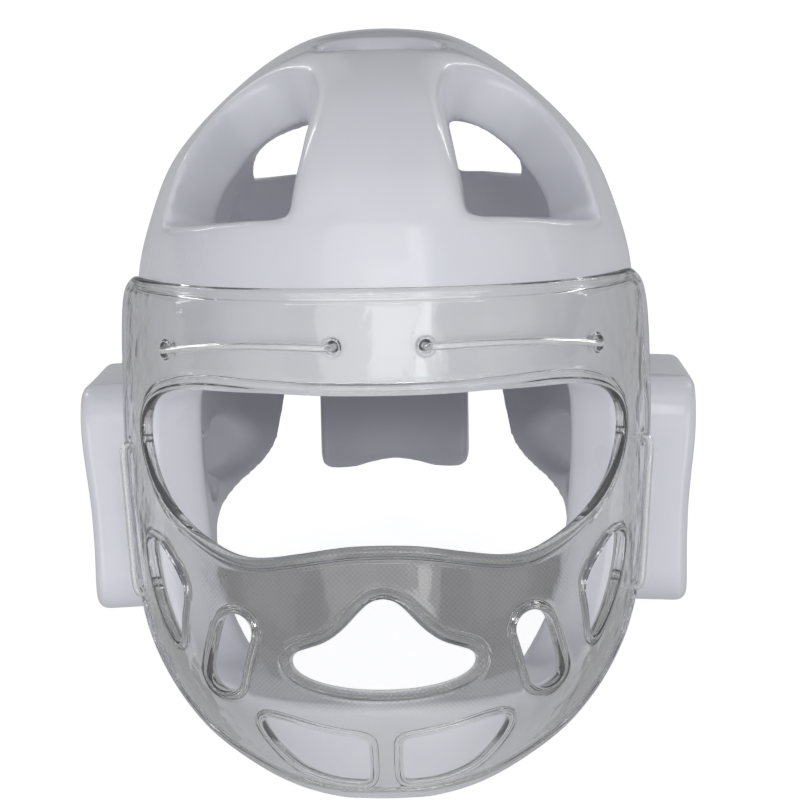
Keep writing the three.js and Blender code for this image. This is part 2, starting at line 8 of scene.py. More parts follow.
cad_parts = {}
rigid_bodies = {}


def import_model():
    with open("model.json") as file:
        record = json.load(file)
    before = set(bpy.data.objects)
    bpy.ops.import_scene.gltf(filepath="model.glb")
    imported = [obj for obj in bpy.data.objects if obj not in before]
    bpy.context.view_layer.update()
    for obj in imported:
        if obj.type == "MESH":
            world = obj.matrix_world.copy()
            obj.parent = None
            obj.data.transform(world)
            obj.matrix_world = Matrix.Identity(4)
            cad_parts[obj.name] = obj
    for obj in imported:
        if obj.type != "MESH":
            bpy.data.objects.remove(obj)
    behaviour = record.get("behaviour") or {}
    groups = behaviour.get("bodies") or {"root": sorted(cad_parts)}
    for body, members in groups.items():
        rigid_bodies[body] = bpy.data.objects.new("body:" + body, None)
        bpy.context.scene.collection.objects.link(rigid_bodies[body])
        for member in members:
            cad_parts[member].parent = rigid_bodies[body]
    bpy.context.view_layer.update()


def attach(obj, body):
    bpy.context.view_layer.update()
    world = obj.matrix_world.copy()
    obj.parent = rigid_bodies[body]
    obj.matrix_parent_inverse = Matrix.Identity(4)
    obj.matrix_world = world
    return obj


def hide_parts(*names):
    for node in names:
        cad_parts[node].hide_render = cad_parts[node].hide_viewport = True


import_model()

# All shapes are worked out in millimetres in the head frame of the CAD source: x to the wearer's
# left, y to the back, z up, origin between the ears. At rest that frame is leant back until the chin
# and the round lower rear corners of the ear pads, given as (y, z), meet the floor.
rest = {
    "chin": (-94.0, -94.0), "padCorner": (45.0, -29.0), "padRound": 17.0,
    "settle": 0.5,  # how far the foam is pressed flat there
    "forward": 5.9656,  # brings the middle of the footprint to the origin
}
chinToPad = np.subtract(rest["padCorner"], rest["chin"])
restLean = math.asin(rest["padRound"] / np.linalg.norm(chinToPad)) - math.atan2(chinToPad[1], chinToPad[0])

shell = {
    "crown": 173.5, "chin": 95.0, "halfWidth": 94.0, "front": 121.0, "back": 110.0,
    "wall": 21.0, "squareness": 2.5,
    "outerRound": 4.2,  # radius of the edges on the outside of the foam
    "ventRound": 1.5,  # round the vents
    "bridgeRound": 4.0,  # beside the bridge between them
    "innerRound": 1.7,  # and on the inside
    "holeRound": 0.9,  # and round the lacing holes
    "ventHeights": (92.0, 104.0),  # over these heights the edges change to the vents' radius
    "bridgeEdge": (28.0, 14.0), "bridgeHeights": (112.0, 137.0),  # and round off beside the bridge
    "cell": 1.85,  # size of the cells that the foam is meshed with
    "gridSide": 54,  # cells from the middle of the grid to its sides
    "gridLow": (-137.0, -104.0), "gridHigh": (117.0, 179.0),  # its ends to the front, back, floor and top
    # painted shade on the inner skin: darker deep in the wall and towards the back, less at the hem and high
    # up
    "shadeDepth": (0.6, 1.0), "shadeBack": (-80.0, 60.0), "shadeHem": (2.0, 16.0), "shadeTop": (100.0, 55.0),
    "evening": 5.0,  # length over which the tabled profiles are smoothed
}

# Height as a share of the crown above the ears and of the chin below; width, front, back as shares
# of the shell's half sizes; side, nose as shares of how far the shield stands off
sections = np.array([
    (1.0, 0.0, 0.0, 0.0, 0.15, 0.0), (0.997, 0.105, 0.13, 0.14, 0.15, 0.0),
    (0.985, 0.261, 0.31, 0.33, 0.15, 0.0), (0.955, 0.385, 0.46, 0.47, 0.15, 0.0),
    (0.915, 0.498, 0.585, 0.6, 0.15, 0.0), (0.87, 0.597, 0.7, 0.715, 0.15, 0.0),
    (0.8, 0.731, 0.81, 0.83, 0.15, 0.0), (0.72, 0.846, 0.895, 0.915, 0.15, 0.0),
    (0.63, 0.915, 0.95, 0.965, 0.15, 0.0), (0.49, 0.985, 0.98, 0.99, 0.18, 0.0),
    (0.27, 0.997, 1.0, 1.0, 0.22, 0.12), (0.1, 0.99, 1.022, 0.99, 0.26, 0.3),
    (-0.03, 0.97, 1.045, 0.97, 0.32, 0.56), (-0.25, 0.94, 1.075, 0.94, 0.48, 0.75),
    (-0.46, 0.89, 1.08, 0.9, 0.6, 0.8), (-0.6, 0.83, 1.055, 0.86, 0.67, 0.85),
    (-0.75, 0.745, 1.0, 0.8, 0.67, 0.87), (-0.9, 0.64, 0.925, 0.7, 0.6, 0.87),
    (-1.0, 0.56, 0.865, 0.62, 0.6, 0.9), (-1.12, 0.46, 0.8, 0.52, 0.5, 0.9),
])
heights = sections[:, 0] * np.where(sections[:, 0] > 0, shell["crown"], shell["chin"])
middle = shell["crown"] / 2  # height of the point that rays and cuts start from


# Height over the floor at rest: y sin a + z cos a, less what that is at the flattened chin.
def restHeight(y, z):
    sine, cosine = math.sin(restLean), math.cos(restLean)
    chinY, chinZ = rest["chin"]
    return (y - chinY) * sine + (z - chinZ) * cosine - rest["settle"]


# y' = y cos a - z sin a + forward, z' = the height over the floor, then millimetres to metres.
def toRest(points):
    x, y, z = np.moveaxis(np.asarray(points, float), -1, 0)
    back = y * math.cos(restLean) - z * math.sin(restLean) + rest["forward"]
    return np.stack([x, back, restHeight(y, z)], -1) / 1000


# Catmull-Rom: each span is the cubic through its two ends that leaves each along the line between
# that point's neighbours.
def smoothLine(points, perSpan=8, closed=False):
    p = np.asarray(points, float)
    if closed:
        a, b, c, d = np.roll(p, 1, 0), p, np.roll(p, -1, 0), np.roll(p, -2, 0)
    else:
        q = np.concatenate([p[:1], p, p[-1:]])
        a, b, c, d = q[:-3], q[1:-2], q[2:-1], q[3:]
    t = (np.arange(perSpan) / perSpan)[None, :, None]
    a, b, c, d = (v[:, None, :] for v in (a, b, c, d))
    line = 0.5 * (2 * b + (c - a) * t + (2 * a - 5 * b + 4 * c - d) * t**2 + (3 * b - a - 3 * c + d) * t**3)
    line = line.reshape(-1, p.shape[1])
    return line if closed else np.concatenate([line, p[-1:]])


# The same line with points at even steps of its length.
def evenLine(points, step, closed=False):
    p = np.concatenate([points, points[:1]]) if closed else points
    along = np.concatenate([[0], np.cumsum(np.linalg.norm(np.diff(p, axis=0), axis=1))])
    count = max(int(round(along[-1] / step)), 8)
    at = np.linspace(0, along[-1], count + 1)
    line = np.stack([np.interp(at, along, p[:, i]) for i in range(p.shape[1])], 1)
    return line[:-1] if closed else line


# A bell-shaped running mean over an even line.
def softened(line, step, width, closed=False):
    reach = int(math.ceil(3 * width / step))
    bell = np.exp(-0.5 * (np.arange(-reach, reach + 1) * step / width) ** 2)
    bell /= bell.sum()
    if closed:
        reach = min(reach, len(line))
        ends = np.concatenate([line[-reach:], line, line[:reach]])
    else:
        head = 2 * line[0] - line[reach:0:-1]
        tail = 2 * line[-1] - line[-2:-reach - 2:-1]
        ends = np.concatenate([head, line, tail])
    return np.stack([np.convolve(ends[:, i], bell, "valid") for i in range(line.shape[1])], 1)


# Profiles (r, z) of the shell's width, front and back, smoothed and moved inwards along their
# normals by inset. The half profile is mirrored over the crown, so that the crown stays round.
def makeProfiles(inset, step=0.5):
    profiles = []
    for column, size in ((1, shell["halfWidth"]), (2, shell["front"]), (3, shell["back"])):
        half = smoothLine(np.stack([sections[:, column] * size, heights], 1), 10)
        both = np.concatenate([half[::-1] * (-1, 1), half[1:]])
        line = softened(evenLine(both, step), step, shell["evening"])
        run = np.gradient(line, axis=0)
        run /= np.linalg.norm(run, axis=1, keepdims=True)
        line = line + inset * np.stack([run[:, 1], -run[:, 0]], 1)
        line = line[line[:, 0] >= 0]
        order = np.argsort(line[:, 1])
        profiles.append((line[order, 1], line[order, 0]))
    return profiles


# Radius at an angle from the front of the oval |x/w|^n + |y/d|^n = 1.
def ovalRadius(sine, cosine, halfWidth, halfDepth):
    n = shell["squareness"]
    across = (np.abs(sine) / np.maximum(halfWidth, 0.01)) ** n
    along = (np.abs(cosine) / np.maximum(halfDepth, 0.01)) ** n
    return (across + along) ** (-1 / n)


# The oval's radius at a height, with the front's or the back's depth.
def shellRadius(profiles, sine, cosine, z):
    width, front, back = (np.interp(z, *p) for p in profiles)
    return ovalRadius(sine, cosine, width, np.where(cosine > 0, front, back))


outerProfiles = makeProfiles(0)
innerProfiles = makeProfiles(shell["wall"])

perDegree = 2  # steps of the tables of directions
lowest = 89 * perDegree  # steps from level to the lowest direction


# How far the skin is from the middle of the head in each direction, found by halving; the table
# runs over half a turn and from nearly straight down to straight up.
def makeReach(profiles):
    turns, rises = np.arange(180 * perDegree + 1), np.arange(-lowest, 90 * perDegree + 1)
    turn, rise = np.meshgrid(np.radians(turns / perDegree), np.radians(rises / perDegree), indexing="ij")
    near, far = np.zeros_like(turn), np.full_like(turn, 600.0)  # the skin lies between the two
    for _ in range(26):
        half = (near + far) / 2
        radius = shellRadius(profiles, np.sin(turn), np.cos(turn), middle + half * np.sin(rise))
        inside = half * np.cos(rise) < radius
        inside &= middle + half * np.sin(rise) < profiles[0][0][-1]
        near, far = np.where(inside, half, near), np.where(inside, far, half)
    return near


# The value between the four entries round (u, v), each weighted by its nearness.
def readTable(table, u, v):
    u = np.clip(u, 0, table.shape[0] - 1.001)
    v = np.clip(v, 0, table.shape[1] - 1.001)
    i, j = u.astype(int), v.astype(int)
    s, t = u - i, v - j
    low = table[i, j] * (1 - t) + table[i, j + 1] * t
    high = table[i + 1, j] * (1 - t) + table[i + 1, j + 1] * t
    return low * (1 - s) + high * s


outerReach = makeReach(outerProfiles)
innerReach = makeReach(innerProfiles)


# Turn from the front and rise from the lowest direction, in steps of the tables, and the distance
# from the middle of the head.
def directionOf(x, y, z):
    flat = np.hypot(x, y)
    turn = np.degrees(np.arctan2(np.abs(x), -y)) * perDegree
    rise = np.degrees(np.arctan2(z - middle, flat)) * perDegree + lowest
    return turn, rise, np.sqrt(flat**2 + (z - middle) ** 2)


# Signed distance to a closed flat outline, negative inside it, tabled over its box and a margin.
def outlineField(outline, cell=1.0, margin=14.0):
    low = outline.min(0) - margin
    counts = np.ceil((outline.max(0) + margin - low) / cell).astype(int) + 1
    u, v = np.meshgrid(*(low[i] + cell * np.arange(counts[i]) for i in (0, 1)), indexing="ij")
    nearest = np.full(u.shape, 1e9)
    inside = np.zeros(u.shape, bool)
    for (ax, ay), (bx, by) in zip(outline, np.roll(outline, -1, 0)):
        dx, dy = bx - ax, by - ay
        t = np.clip(((u - ax) * dx + (v - ay) * dy) / max(dx * dx + dy * dy, 1e-12), 0, 1)
        nearest = np.minimum(nearest, (u - ax - t * dx) ** 2 + (v - ay - t * dy) ** 2)
        if ay != by:
            inside ^= ((ay > v) != (by > v)) & (u < ax + (v - ay) * dx / dy)
    table = np.where(inside, -1.0, 1.0) * np.sqrt(nearest)
    return lambda a, b: readTable(table, (a - low[0]) / cell, (b - low[1]) / cell)


# Foam pieces are given by a field that is negative inside them, and meshed where it is zero. This
# is the grid of points, one cell apart, that the field is worked out on.
def gridOver(low, high, cell):
    axes = [np.arange(a, b + cell, cell, dtype=np.float32) for a, b in zip(low, high)]
    return np.meshgrid(*axes, indexing="ij")


# A field divided by its own steepness, which makes it a distance near its zero.
def asDistance(field, cell):
    steep = np.sqrt(sum(g**2 for g in np.gradient(field, cell)))
    return field / np.maximum(steep, 0.15)


# The greatest of the skin and its cuts, where the root of their squares rounds every edge.
def carved(skin, cuts, radius):
    most = np.maximum.reduce([skin, *cuts])
    corner = sum(np.maximum(f + radius, 0) ** 2 for f in (skin, *cuts))
    return np.minimum(most, -radius) + np.sqrt(corner)


# The field between the eight grid points round each place, each weighted by its nearness.
def readField(field, places):
    p = np.clip(places, 0, np.array(field.shape) - 1.001)
    i = p.astype(int)
    t = p - i
    total = 0
    for a in (0, 1):
        for b in (0, 1):
            for c in (0, 1):
                share = np.prod(np.where((a, b, c), t, 1 - t), axis=1)
                total = total + share * field[i[:, 0] + a, i[:, 1] + b, i[:, 2] + c]
    return total


# One vertex in every cell that the surface passes through, at the mean of its crossings, and one
# quad across every grid edge that it crosses. Then it is relaxed and drawn back onto the surface.
def netOver(field, low, cell, rounds=4, pull=0.6):
    nx, ny, nz = field.shape
    inside = field < 0
    corners = [(a, b, c) for a in (0, 1) for b in (0, 1) for c in (0, 1)]
    count = sum(inside[a:nx - 1 + a, b:ny - 1 + b, c:nz - 1 + c].astype(np.int8) for a, b, c in corners)
    cells = np.argwhere((count > 0) & (count < 8))
    index = np.full((nx - 1, ny - 1, nz - 1), -1)
    index[tuple(cells.T)] = np.arange(len(cells))
    values = np.stack([field[tuple((cells + k).T)] for k in corners], 1)
    total = np.zeros((len(cells), 3))
    found = np.zeros(len(cells))
    for m, a in enumerate(corners):
        for n, b in enumerate(corners):
            if n > m and sum(abs(p - q) for p, q in zip(a, b)) == 1:
                va, vb = values[:, m], values[:, n]
                crossed = (va < 0) != (vb < 0)
                t = np.where(crossed, va / np.where(crossed, va - vb, 1), 0)[:, None]
                total += np.where(crossed[:, None], np.array(a) * (1 - t) + np.array(b) * t, 0)
                found += crossed
    places = cells + total / found[:, None]
    quads = []
    for axis in range(3):
        p, q = (axis + 1) % 3, (axis + 2) % 3
        start = [slice(0, None)] * 3
        start[axis] = slice(0, -1)
        end = [slice(0, None)] * 3
        end[axis] = slice(1, None)
        a, b = inside[tuple(start)], inside[tuple(end)]
        crossing = np.argwhere(a != b)
        crossing = crossing[(crossing[:, p] > 0) & (crossing[:, q] > 0)]
        step = np.eye(3, dtype=int)
        around = [crossing - step[p] - step[q], crossing - step[q], crossing, crossing - step[p]]
        quad = np.stack([index[tuple(k.T)] for k in around], 1)
        outward = a[tuple(crossing.T)]
        quads.append(np.where(outward[:, None], quad, quad[:, ::-1]))
    quads = np.concatenate(quads)
    slopes = np.gradient(field)
    edges = np.concatenate([quads[:, (i, (i + 1) % 4)] for i in range(4)])
    for _ in range(rounds):
        ends = np.concatenate([edges[:, 0], edges[:, 1]])
        others = np.concatenate([edges[:, 1], edges[:, 0]])
        many = np.bincount(ends, minlength=len(places))
        mean = np.stack([np.bincount(ends, places[others, i], len(places)) for i in range(3)], 1)
        places = (1 - pull) * places + pull * mean / many[:, None]
        for _ in range(2):
            value = readField(field, places)
            slope = np.stack([readField(g, places) for g in slopes], 1)
            size = np.maximum((slope**2).sum(1), 0.05)
            places -= np.clip(value / size, -1, 1)[:, None] * slope
    return np.asarray(low) + places * cell, quads


# A smooth mesh object of points and of faces that all have the same number of corners.
def makeMesh(name, points, faces):
    mesh = bpy.data.meshes.new(name)
    faces = np.asarray(faces)
    mesh.vertices.add(len(points))
    mesh.vertices.foreach_set("co", np.asarray(points, np.float32).ravel())
    mesh.loops.add(faces.size)
    mesh.loops.foreach_set("vertex_index", faces.ravel().astype(np.int32))
    mesh.polygons.add(len(faces))
    mesh.polygons.foreach_set("loop_start", np.arange(len(faces), dtype=np.int32) * faces.shape[1])
    mesh.update(calc_edges=True)
    mesh.validate()
    mesh.shade_smooth()
    piece = bpy.data.objects.new(name, mesh)
    bpy.context.scene.collection.objects.link(piece)
    return piece


# A number for every point of a piece, which its material reads by name.
def giveShare(piece, name, share):
    layer = piece.data.attributes.new(name, "FLOAT", "POINT")
    layer.data.foreach_set("value", np.asarray(share, np.float32))


# Material, body and the CAD node that the piece stands for.
def finishPiece(piece, look, node):
    piece.data.materials.append(look)
    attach(piece, "root")
    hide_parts(node)
    return piece


# Foam shell
openings = {
    "faceHalfAngle": 53.5, "browHeight": 50.0, "chinGuardTop": 56.0,
    "bridgeHalfWidth": 30.0, "ventFloor": 110.0, "rearVentFloor": 112.0,
    "topHalfWidth": 22.0, "topHalfLength": 13.0, "topForward": 38.5,
    "topSquareness": 2.6, "topRound": 2.2,
    "dimpleDepth": 2.3, "dimpleForward": 26.0,  # the dimple behind the top hole
    "dimpleLength": 14.0, "dimpleWidth": 36.0,
    "flapHalfWidth": 31.0, "flapDrop": 8.5, "flapNotchDrop": 5.0,
    "rearGapWidth": 12.0, "rearGapTop": 58.0,
    # ovals at the ear: place to the back and up, half length and half height
    "earHole": (14.0, 5.0, 12.0, 13.5), "earRecess": (40.0, 9.0, 26.0, 13.0), "earRecessDepth": 5.0,
    # where each begins, so that it stays out of the rest of the shell
    "topAbove": middle + 20, "dimpleAbove": 130.0, "flapBehind": 20.0,
    "holeBeyond": 40.0, "recessBeyond": 30.0,
}
noCut = -30.0  # the distance to a cut that isn't there


# How far inside an oval beside the ear a point is, in about millimetres: 1 less its distance from
# the oval's middle in half sizes, times the half length.
def inOval(y, z, back, up, halfLength, halfHeight):
    return (1 - np.hypot((y - back) / halfLength, (z - up) / halfHeight)) * halfLength


# Shares of the half angle and of the height from brow to chin guard, on the unrolled shell
faceHalf = np.array([
    (0.0, 1.0), (0.45, 1.0), (0.8, 0.985), (0.94, 0.94), (0.99, 0.85), (1.0, 0.7), (1.0, 0.4),
    (0.98, 0.24), (0.94, 0.13), (0.86, 0.055), (0.72, 0.01), (0.5, 0.0), (0.0, 0.0),
])
# Shares of the way from the bridge to the shell's side and from the vent's floor to the crown
ventOutline = np.array([
    (-0.099, 0.79), (0.003, 0.8), (0.127, 0.775), (0.28, 0.69), (0.435, 0.56), (0.572, 0.39),
    (0.668, 0.2), (0.728, 0.01), (0.742, -0.075), (0.563, -0.06), (0.272, -0.02), (0.045, 0.0),
    (0.0, 0.03), (-0.04, 0.2), (-0.1, 0.46), (-0.145, 0.66),
])
rearVentOutline = np.array([
    (-0.019, 0.02), (0.272, 0.0), (0.549, 0.02), (0.629, 0.1), (0.593, 0.3), (0.454, 0.49),
    (0.243, 0.62), (0.025, 0.67), (-0.091, 0.6), (-0.077, 0.3),
])
# The vents narrow inwards, so they have outlines of their own on the inside of the foam
ventInside = np.array([
    (0.045, 0.69), (0.11, 0.712), (0.2, 0.69), (0.3, 0.645), (0.39, 0.59), (0.5, 0.495), (0.6, 0.36),
    (0.68, 0.235), (0.735, 0.1), (0.745, 0.02), (0.715, -0.005), (0.61, 0.015), (0.4, 0.035),
    (0.2, 0.042), (0.13, 0.04), (0.118, 0.09), (0.108, 0.235), (0.08, 0.375), (0.06, 0.51), (0.042, 0.62),
])
rearVentInside = np.array([
    (0.05, 0.175), (0.272, 0.165), (0.5, 0.145), (0.575, 0.15), (0.59, 0.27), (0.545, 0.43),
    (0.44, 0.52), (0.25, 0.58), (0.08, 0.6), (0.03, 0.54), (0.03, 0.33),
])
# The lower edge: degrees from the front, and height as a share of the chin's depth
hem = np.array([
    (26, -1.03), (35, -0.97), (45, -0.86), (55, -0.7), (65, -0.53), (75, -0.39), (85, -0.28),
    (96, -0.205), (110, -0.155), (123, -0.11), (134, -0.065), (141, -0.02), (146, 0.05), (149.5, 0.14),
    (152.5, 0.3), (155, 0.46), (159, 0.56),
])
# Shares of the flap's half width and of its drop beyond the notch in its middle
flapEdgeHalf = np.array([
    (0.0, 0.0), (0.25, 0.3), (0.5, 0.85), (0.7, 1.0), (0.87, 0.85), (0.97, 0.4), (1.0, -0.5),
])
# Shares of a rear gap's width and height
rearGap = np.array([
    (0.0, 0.9), (0.25, 0.985), (0.5, 1.0), (0.75, 0.985), (1.0, 0.9), (1.05, 0.55), (1.3, 0.2),
])
arcScale = 95 * math.pi / 180  # millimetres that one degree round the head is drawn as
farBelow = -150.0
spread = 30.0  # how far round an outline its distances are tabled


# Distance to a vent's outline in front or rear view.
def ventField(outline, floor):
    o = openings
    span = (shell["halfWidth"] - o["bridgeHalfWidth"], shell["crown"] - floor)
    line = smoothLine(outline, 8, True) * span + (o["bridgeHalfWidth"], floor)
    return outlineField(evenLine(line, 1.5, True), margin=spread)


# Distance to the face opening's outline on the unrolled shell.
def faceField():
    o = openings
    tall = o["browHeight"] + o["chinGuardTop"]
    half = smoothLine(faceHalf, 6) * (o["faceHalfAngle"] * arcScale, tall) - (0, o["chinGuardTop"])
    face = np.concatenate([half, half[-2:0:-1] * (-1, 1)])
    return outlineField(evenLine(face, 1.5, True), margin=spread)


# Fields of the face opening, hem, vents, flap and ear holes. Face and hem are cut by angle and
# height, the vents along rays from the middle of the head, and the rest straight through.
def foamCuts(x, y, z, cell):
    o = openings
    side = np.abs(x)
    turn, rise, far = directionOf(x, y, z)
    arc = turn / perDegree * arcScale
    line = smoothLine(hem, 5) * (arcScale, shell["chin"])
    line = np.concatenate([line, [(line[-1, 0], farBelow), (line[0, 0], farBelow)]])
    cuts = [asDistance(-field(arc, z), cell) for field in (faceField(), outlineField(line, margin=spread))]
    reach = readTable(outerReach, turn, rise)
    share = reach / np.maximum(far, 1)
    skinX, skinZ = side * share, middle + (z - middle) * share
    deep = np.clip((reach - far) / (reach - readTable(innerReach, turn, rise)), -0.2, 1.2)
    for outer, inner, floor, before in ((ventOutline, ventInside, o["ventFloor"], True),
                                        (rearVentOutline, rearVentInside, o["rearVentFloor"], False)):
        outside, inside = (ventField(outline, floor)(skinX, skinZ) for outline in (outer, inner))
        cut = (1 - deep) * outside + deep * inside
        cuts.append(np.where((y < 0) == before, asDistance(-cut, cell), noCut))
    drop = -(o["flapNotchDrop"] + flapEdgeHalf[:, 1] * (o["flapDrop"] - o["flapNotchDrop"]))
    edge = smoothLine(np.stack([flapEdgeHalf[:, 0] * o["flapHalfWidth"], drop], 1), 5)
    gap = smoothLine(rearGap * (o["rearGapWidth"], o["rearGapTop"]) + (o["flapHalfWidth"], 0), 4)
    right = np.concatenate([edge, gap, [(gap[-1, 0], farBelow)]])
    both = np.concatenate([right, right[:0:-1] * (-1, 1)])
    cuts.append(np.where(y > o["flapBehind"], -outlineField(both, margin=spread)(side, z), noCut))
    cuts.append(np.where(side > o["holeBeyond"], asDistance(inOval(y, z, *o["earHole"]), cell), noCut))
    return cuts


# Distance from points to the line from a to b.
def lineDistance(points, a, b):
    a, b = np.asarray(a, np.float32), np.asarray(b, np.float32)
    run = (b - a) / np.linalg.norm(b - a)
    away = points - a
    along = np.clip(away @ run, 0, np.linalg.norm(b - a))
    return np.linalg.norm(away - along[..., None] * run, axis=-1)


# A share that goes from 0 at one value to 1 at another, in a straight line.
def fade(value, zeroAt, oneAt):
    return np.clip((value - zeroAt) / (oneAt - zeroAt), 0, 1)


# How far the foam's outer edges are rounded: less at the vents, and more again beside the bridge.
def edgeRounds(side, z):
    s = shell
    place, width = s["bridgeEdge"]
    nearBridge = np.exp(-(((side - place) / width) ** 2)) * fade(z, *s["bridgeHeights"])
    ventRound = s["ventRound"] + (s["bridgeRound"] - s["ventRound"]) * nearBridge
    atVents = fade(z, *s["ventHeights"])
    return s["outerRound"] * (1 - atVents) + ventRound * atVents


# The wall between the outer and the inner skin, less its openings, the top hole, |x/w|^n + |y/l|^n
# under 1, the lacing holes, and what would lie under the floor.
def foamField(x, y, z, cell, holes):
    o = openings
    side = np.abs(x)
    turn, rise, far = directionOf(x, y, z)
    dimple = np.exp(-(((y + o["dimpleForward"]) / o["dimpleLength"]) ** 2) - (x / o["dimpleWidth"]) ** 2)
    dimple = np.where(z > o["dimpleAbove"], o["dimpleDepth"] * dimple, 0)
    recess = np.clip(inOval(y, z, *o["earRecess"]), 0, o["earRecessDepth"])
    recess = np.where(side > o["recessBeyond"], recess, 0)
    outer = asDistance(far - readTable(outerReach, turn, rise), cell) + dimple
    inner = asDistance(readTable(innerReach, turn, rise) - far, cell) + recess
    cuts = foamCuts(x, y, z, cell)
    foam = np.maximum(carved(outer, cuts, edgeRounds(side, z)), carved(inner, cuts, shell["innerRound"]))
    n = o["topSquareness"]
    ring = np.abs(x / o["topHalfWidth"]) ** n + np.abs((y + o["topForward"]) / o["topHalfLength"]) ** n
    top = asDistance((1 - ring ** (1 / n)) * o["topHalfLength"], cell)
    foam = carved(foam, [np.where(z > o["topAbove"], top, noCut)], o["topRound"])
    lacing = [radius - lineDistance(np.stack([side, y, z], -1), a, b) for a, b, radius in holes]
    return np.maximum(carved(foam, lacing, shell["holeRound"]), -restHeight(y, z))


# How much painted shade the inner skin gets: the product of its shares by depth in the wall, by place and by
# height.
def innerPaintedShade(x, y, z):
    turn, rise, far = directionOf(x, y, z)
    reach, least = readTable(outerReach, turn, rise), readTable(innerReach, turn, rise)
    shade = fade((reach - far) / (reach - least), *shell["shadeDepth"]) * fade(y, *shell["shadeBack"])
    shade *= 0.75 + 0.25 * fade(z, *shell["shadeHem"])
    return shade * np.maximum(fade(z, *shell["shadeTop"]), 0.15)


# The foam field's net over a grid that is even on both sides of the middle.
def makeFoamShell(holes):
    cell = shell["cell"]
    aside = shell["gridSide"] * cell
    low, high = (-aside, *shell["gridLow"]), (aside, *shell["gridHigh"])
    points, quads = netOver(foamField(*gridOver(low, high, cell), cell, holes), low, cell)
    piece = makeMesh("foamShell", toRest(points), quads)
    # the inside share is the painted shade of the inner skin
    giveShare(piece, "inside", innerPaintedShade(*points.T))
    return piece


# Ear pads
pads = {
    "length": 90.0, "height": 88.0, "drop": 2.0, "rear": 62.0, "reach": 114.1, "lean": 2.6,
    "cornerRadius": 15.0, "edgeRound": 4.2, "clearance": 0.45, "cell": 1.15,
    "waist": 1.1,  # how far the four edges bow inwards
    "crown": 0.8,  # how far the outer face falls off to the front and back
    "earHole": (14.0, 2.0, 12.5, 16.0),
    "gridSides": (78.0, 122.0), "gridRoom": 4.0,  # the grid's ends sideways, and its room elsewhere
}
# How far the outer face stands out at heights from the pad's middle
padBulge = np.array([
    (-46, 0.6), (-38, 0.5), (-28, 0.0), (-16, -0.35), (-4, -0.3), (6, 0.2), (16, 0.9), (24, 1.2),
    (34, 0.9), (46, 0.2),
])


# A square block with round corners, max(u, v) within them, leaning outwards, cut to the shell and
# pierced for the ear.
def makePad(name, side):
    p = pads
    inner, outer = p["gridSides"]
    low = (inner, p["rear"] - p["length"] - p["gridRoom"], -p["height"] / 2 - 2 * p["gridRoom"])
    high = (outer, p["rear"] + p["gridRoom"], p["height"] / 2 + p["gridRoom"])
    x, y, z = gridOver(low, high, p["cell"])
    lean = math.radians(p["lean"])
    across = (x - p["reach"]) * math.cos(lean) - (z + p["drop"]) * math.sin(lean)
    up = (x - p["reach"]) * math.sin(lean) + (z + p["drop"]) * math.cos(lean)
    step = 1.0
    bulge = softened(evenLine(smoothLine(padBulge, 6), step), step, 3 * step)
    middleY = p["rear"] - p["length"] / 2
    along = (y - middleY) / (p["length"] / 2)
    face = across - np.interp(up, bulge[:, 0], bulge[:, 1]) + p["crown"] * along**2
    bow = p["waist"] * (1 - along**2)
    bowSide = p["waist"] * (1 - (up / (p["height"] / 2)) ** 2)
    u = np.abs(y - middleY) - (p["length"] / 2 - p["cornerRadius"]) + bowSide
    v = np.abs(up) - (p["height"] / 2 - p["cornerRadius"]) + bow
    block = np.hypot(np.maximum(u, 0), np.maximum(v, 0)) + np.minimum(np.maximum(u, v), 0)
    block = asDistance(block - p["cornerRadius"], p["cell"])
    turn, rise, far = directionOf(x, y, z)
    skin = asDistance(far - readTable(outerReach, turn, rise), p["cell"])
    ear = asDistance(inOval(y, z, *p["earHole"]), p["cell"])
    pad = carved(face, [block, ear], p["edgeRound"])
    pad = np.maximum.reduce([pad, p["clearance"] - skin, -restHeight(y, z)])
    points, quads = netOver(pad, low, p["cell"])
    if side < 0:
        points = points * (-1, 1, 1)
        quads = quads[:, ::-1]
    return makeMesh(name, toRest(points), quads)


# Face shield
shield = {
    "thickness": 2.5, "top": 87.0, "bottom": 92.0, "halfAngle": 70.0, "standOff": 8.0, "clearance": 0.45,
    "evening": 7.0,  # height over which its distance from the foam is smoothed
    "level": 10.0,  # height at which lengths round the plate are measured
    "spacing": 2.3,  # of the points in the middle of the plate
    "gap": 0.45,  # between them and those along the rims, as a share of the spacing
    "edgeStep": 1.15,  # of the points along its edges
    "slack": 0.12,  # how far those of a ring may be out of place
    # outlines in front view: where they start in x, their top, width and height
    "eye": (0.0, 51.0, 84.5, 51.0), "mouth": (0.0, -17.0, 31.5, 31.0), "shadedWeave": (0.0, 8.0, 67.0, 66.0),
    "cheek": (84.0, -5.0, -35.0, 35.0), "chin": (6.0, -60.0, 24.0, 24.0),
    "slot": (53.0, -38.0, 11.5, 29.0), "slotLean": 14.0,  # the middle, width and length of a slot
    "lacingHole": 2.5,  # radius
    "softEdge": 2.4, "softEye": 1.2, "softSmall": 0.9,  # lengths over which outlines are smoothed
    "footOutside": 0.7, "footInside": 0.5,  # rounds where the rims meet the plate
    "shadedWeaveFade": 5.0,  # over which the painted shade and its weave come in
}
# Shares of the plate's height from its bottom, and of its half angle there
rearEdge = np.array([
    (0.0, 0.1), (0.012, 0.19), (0.03, 0.27), (0.06, 0.37), (0.1, 0.52), (0.16, 0.66), (0.24, 0.77),
    (0.34, 0.86), (0.44, 0.93), (0.56, 0.985), (0.7, 1.0), (0.84, 0.985), (0.93, 0.95), (0.975, 0.89),
    (1.0, 0.8),
])
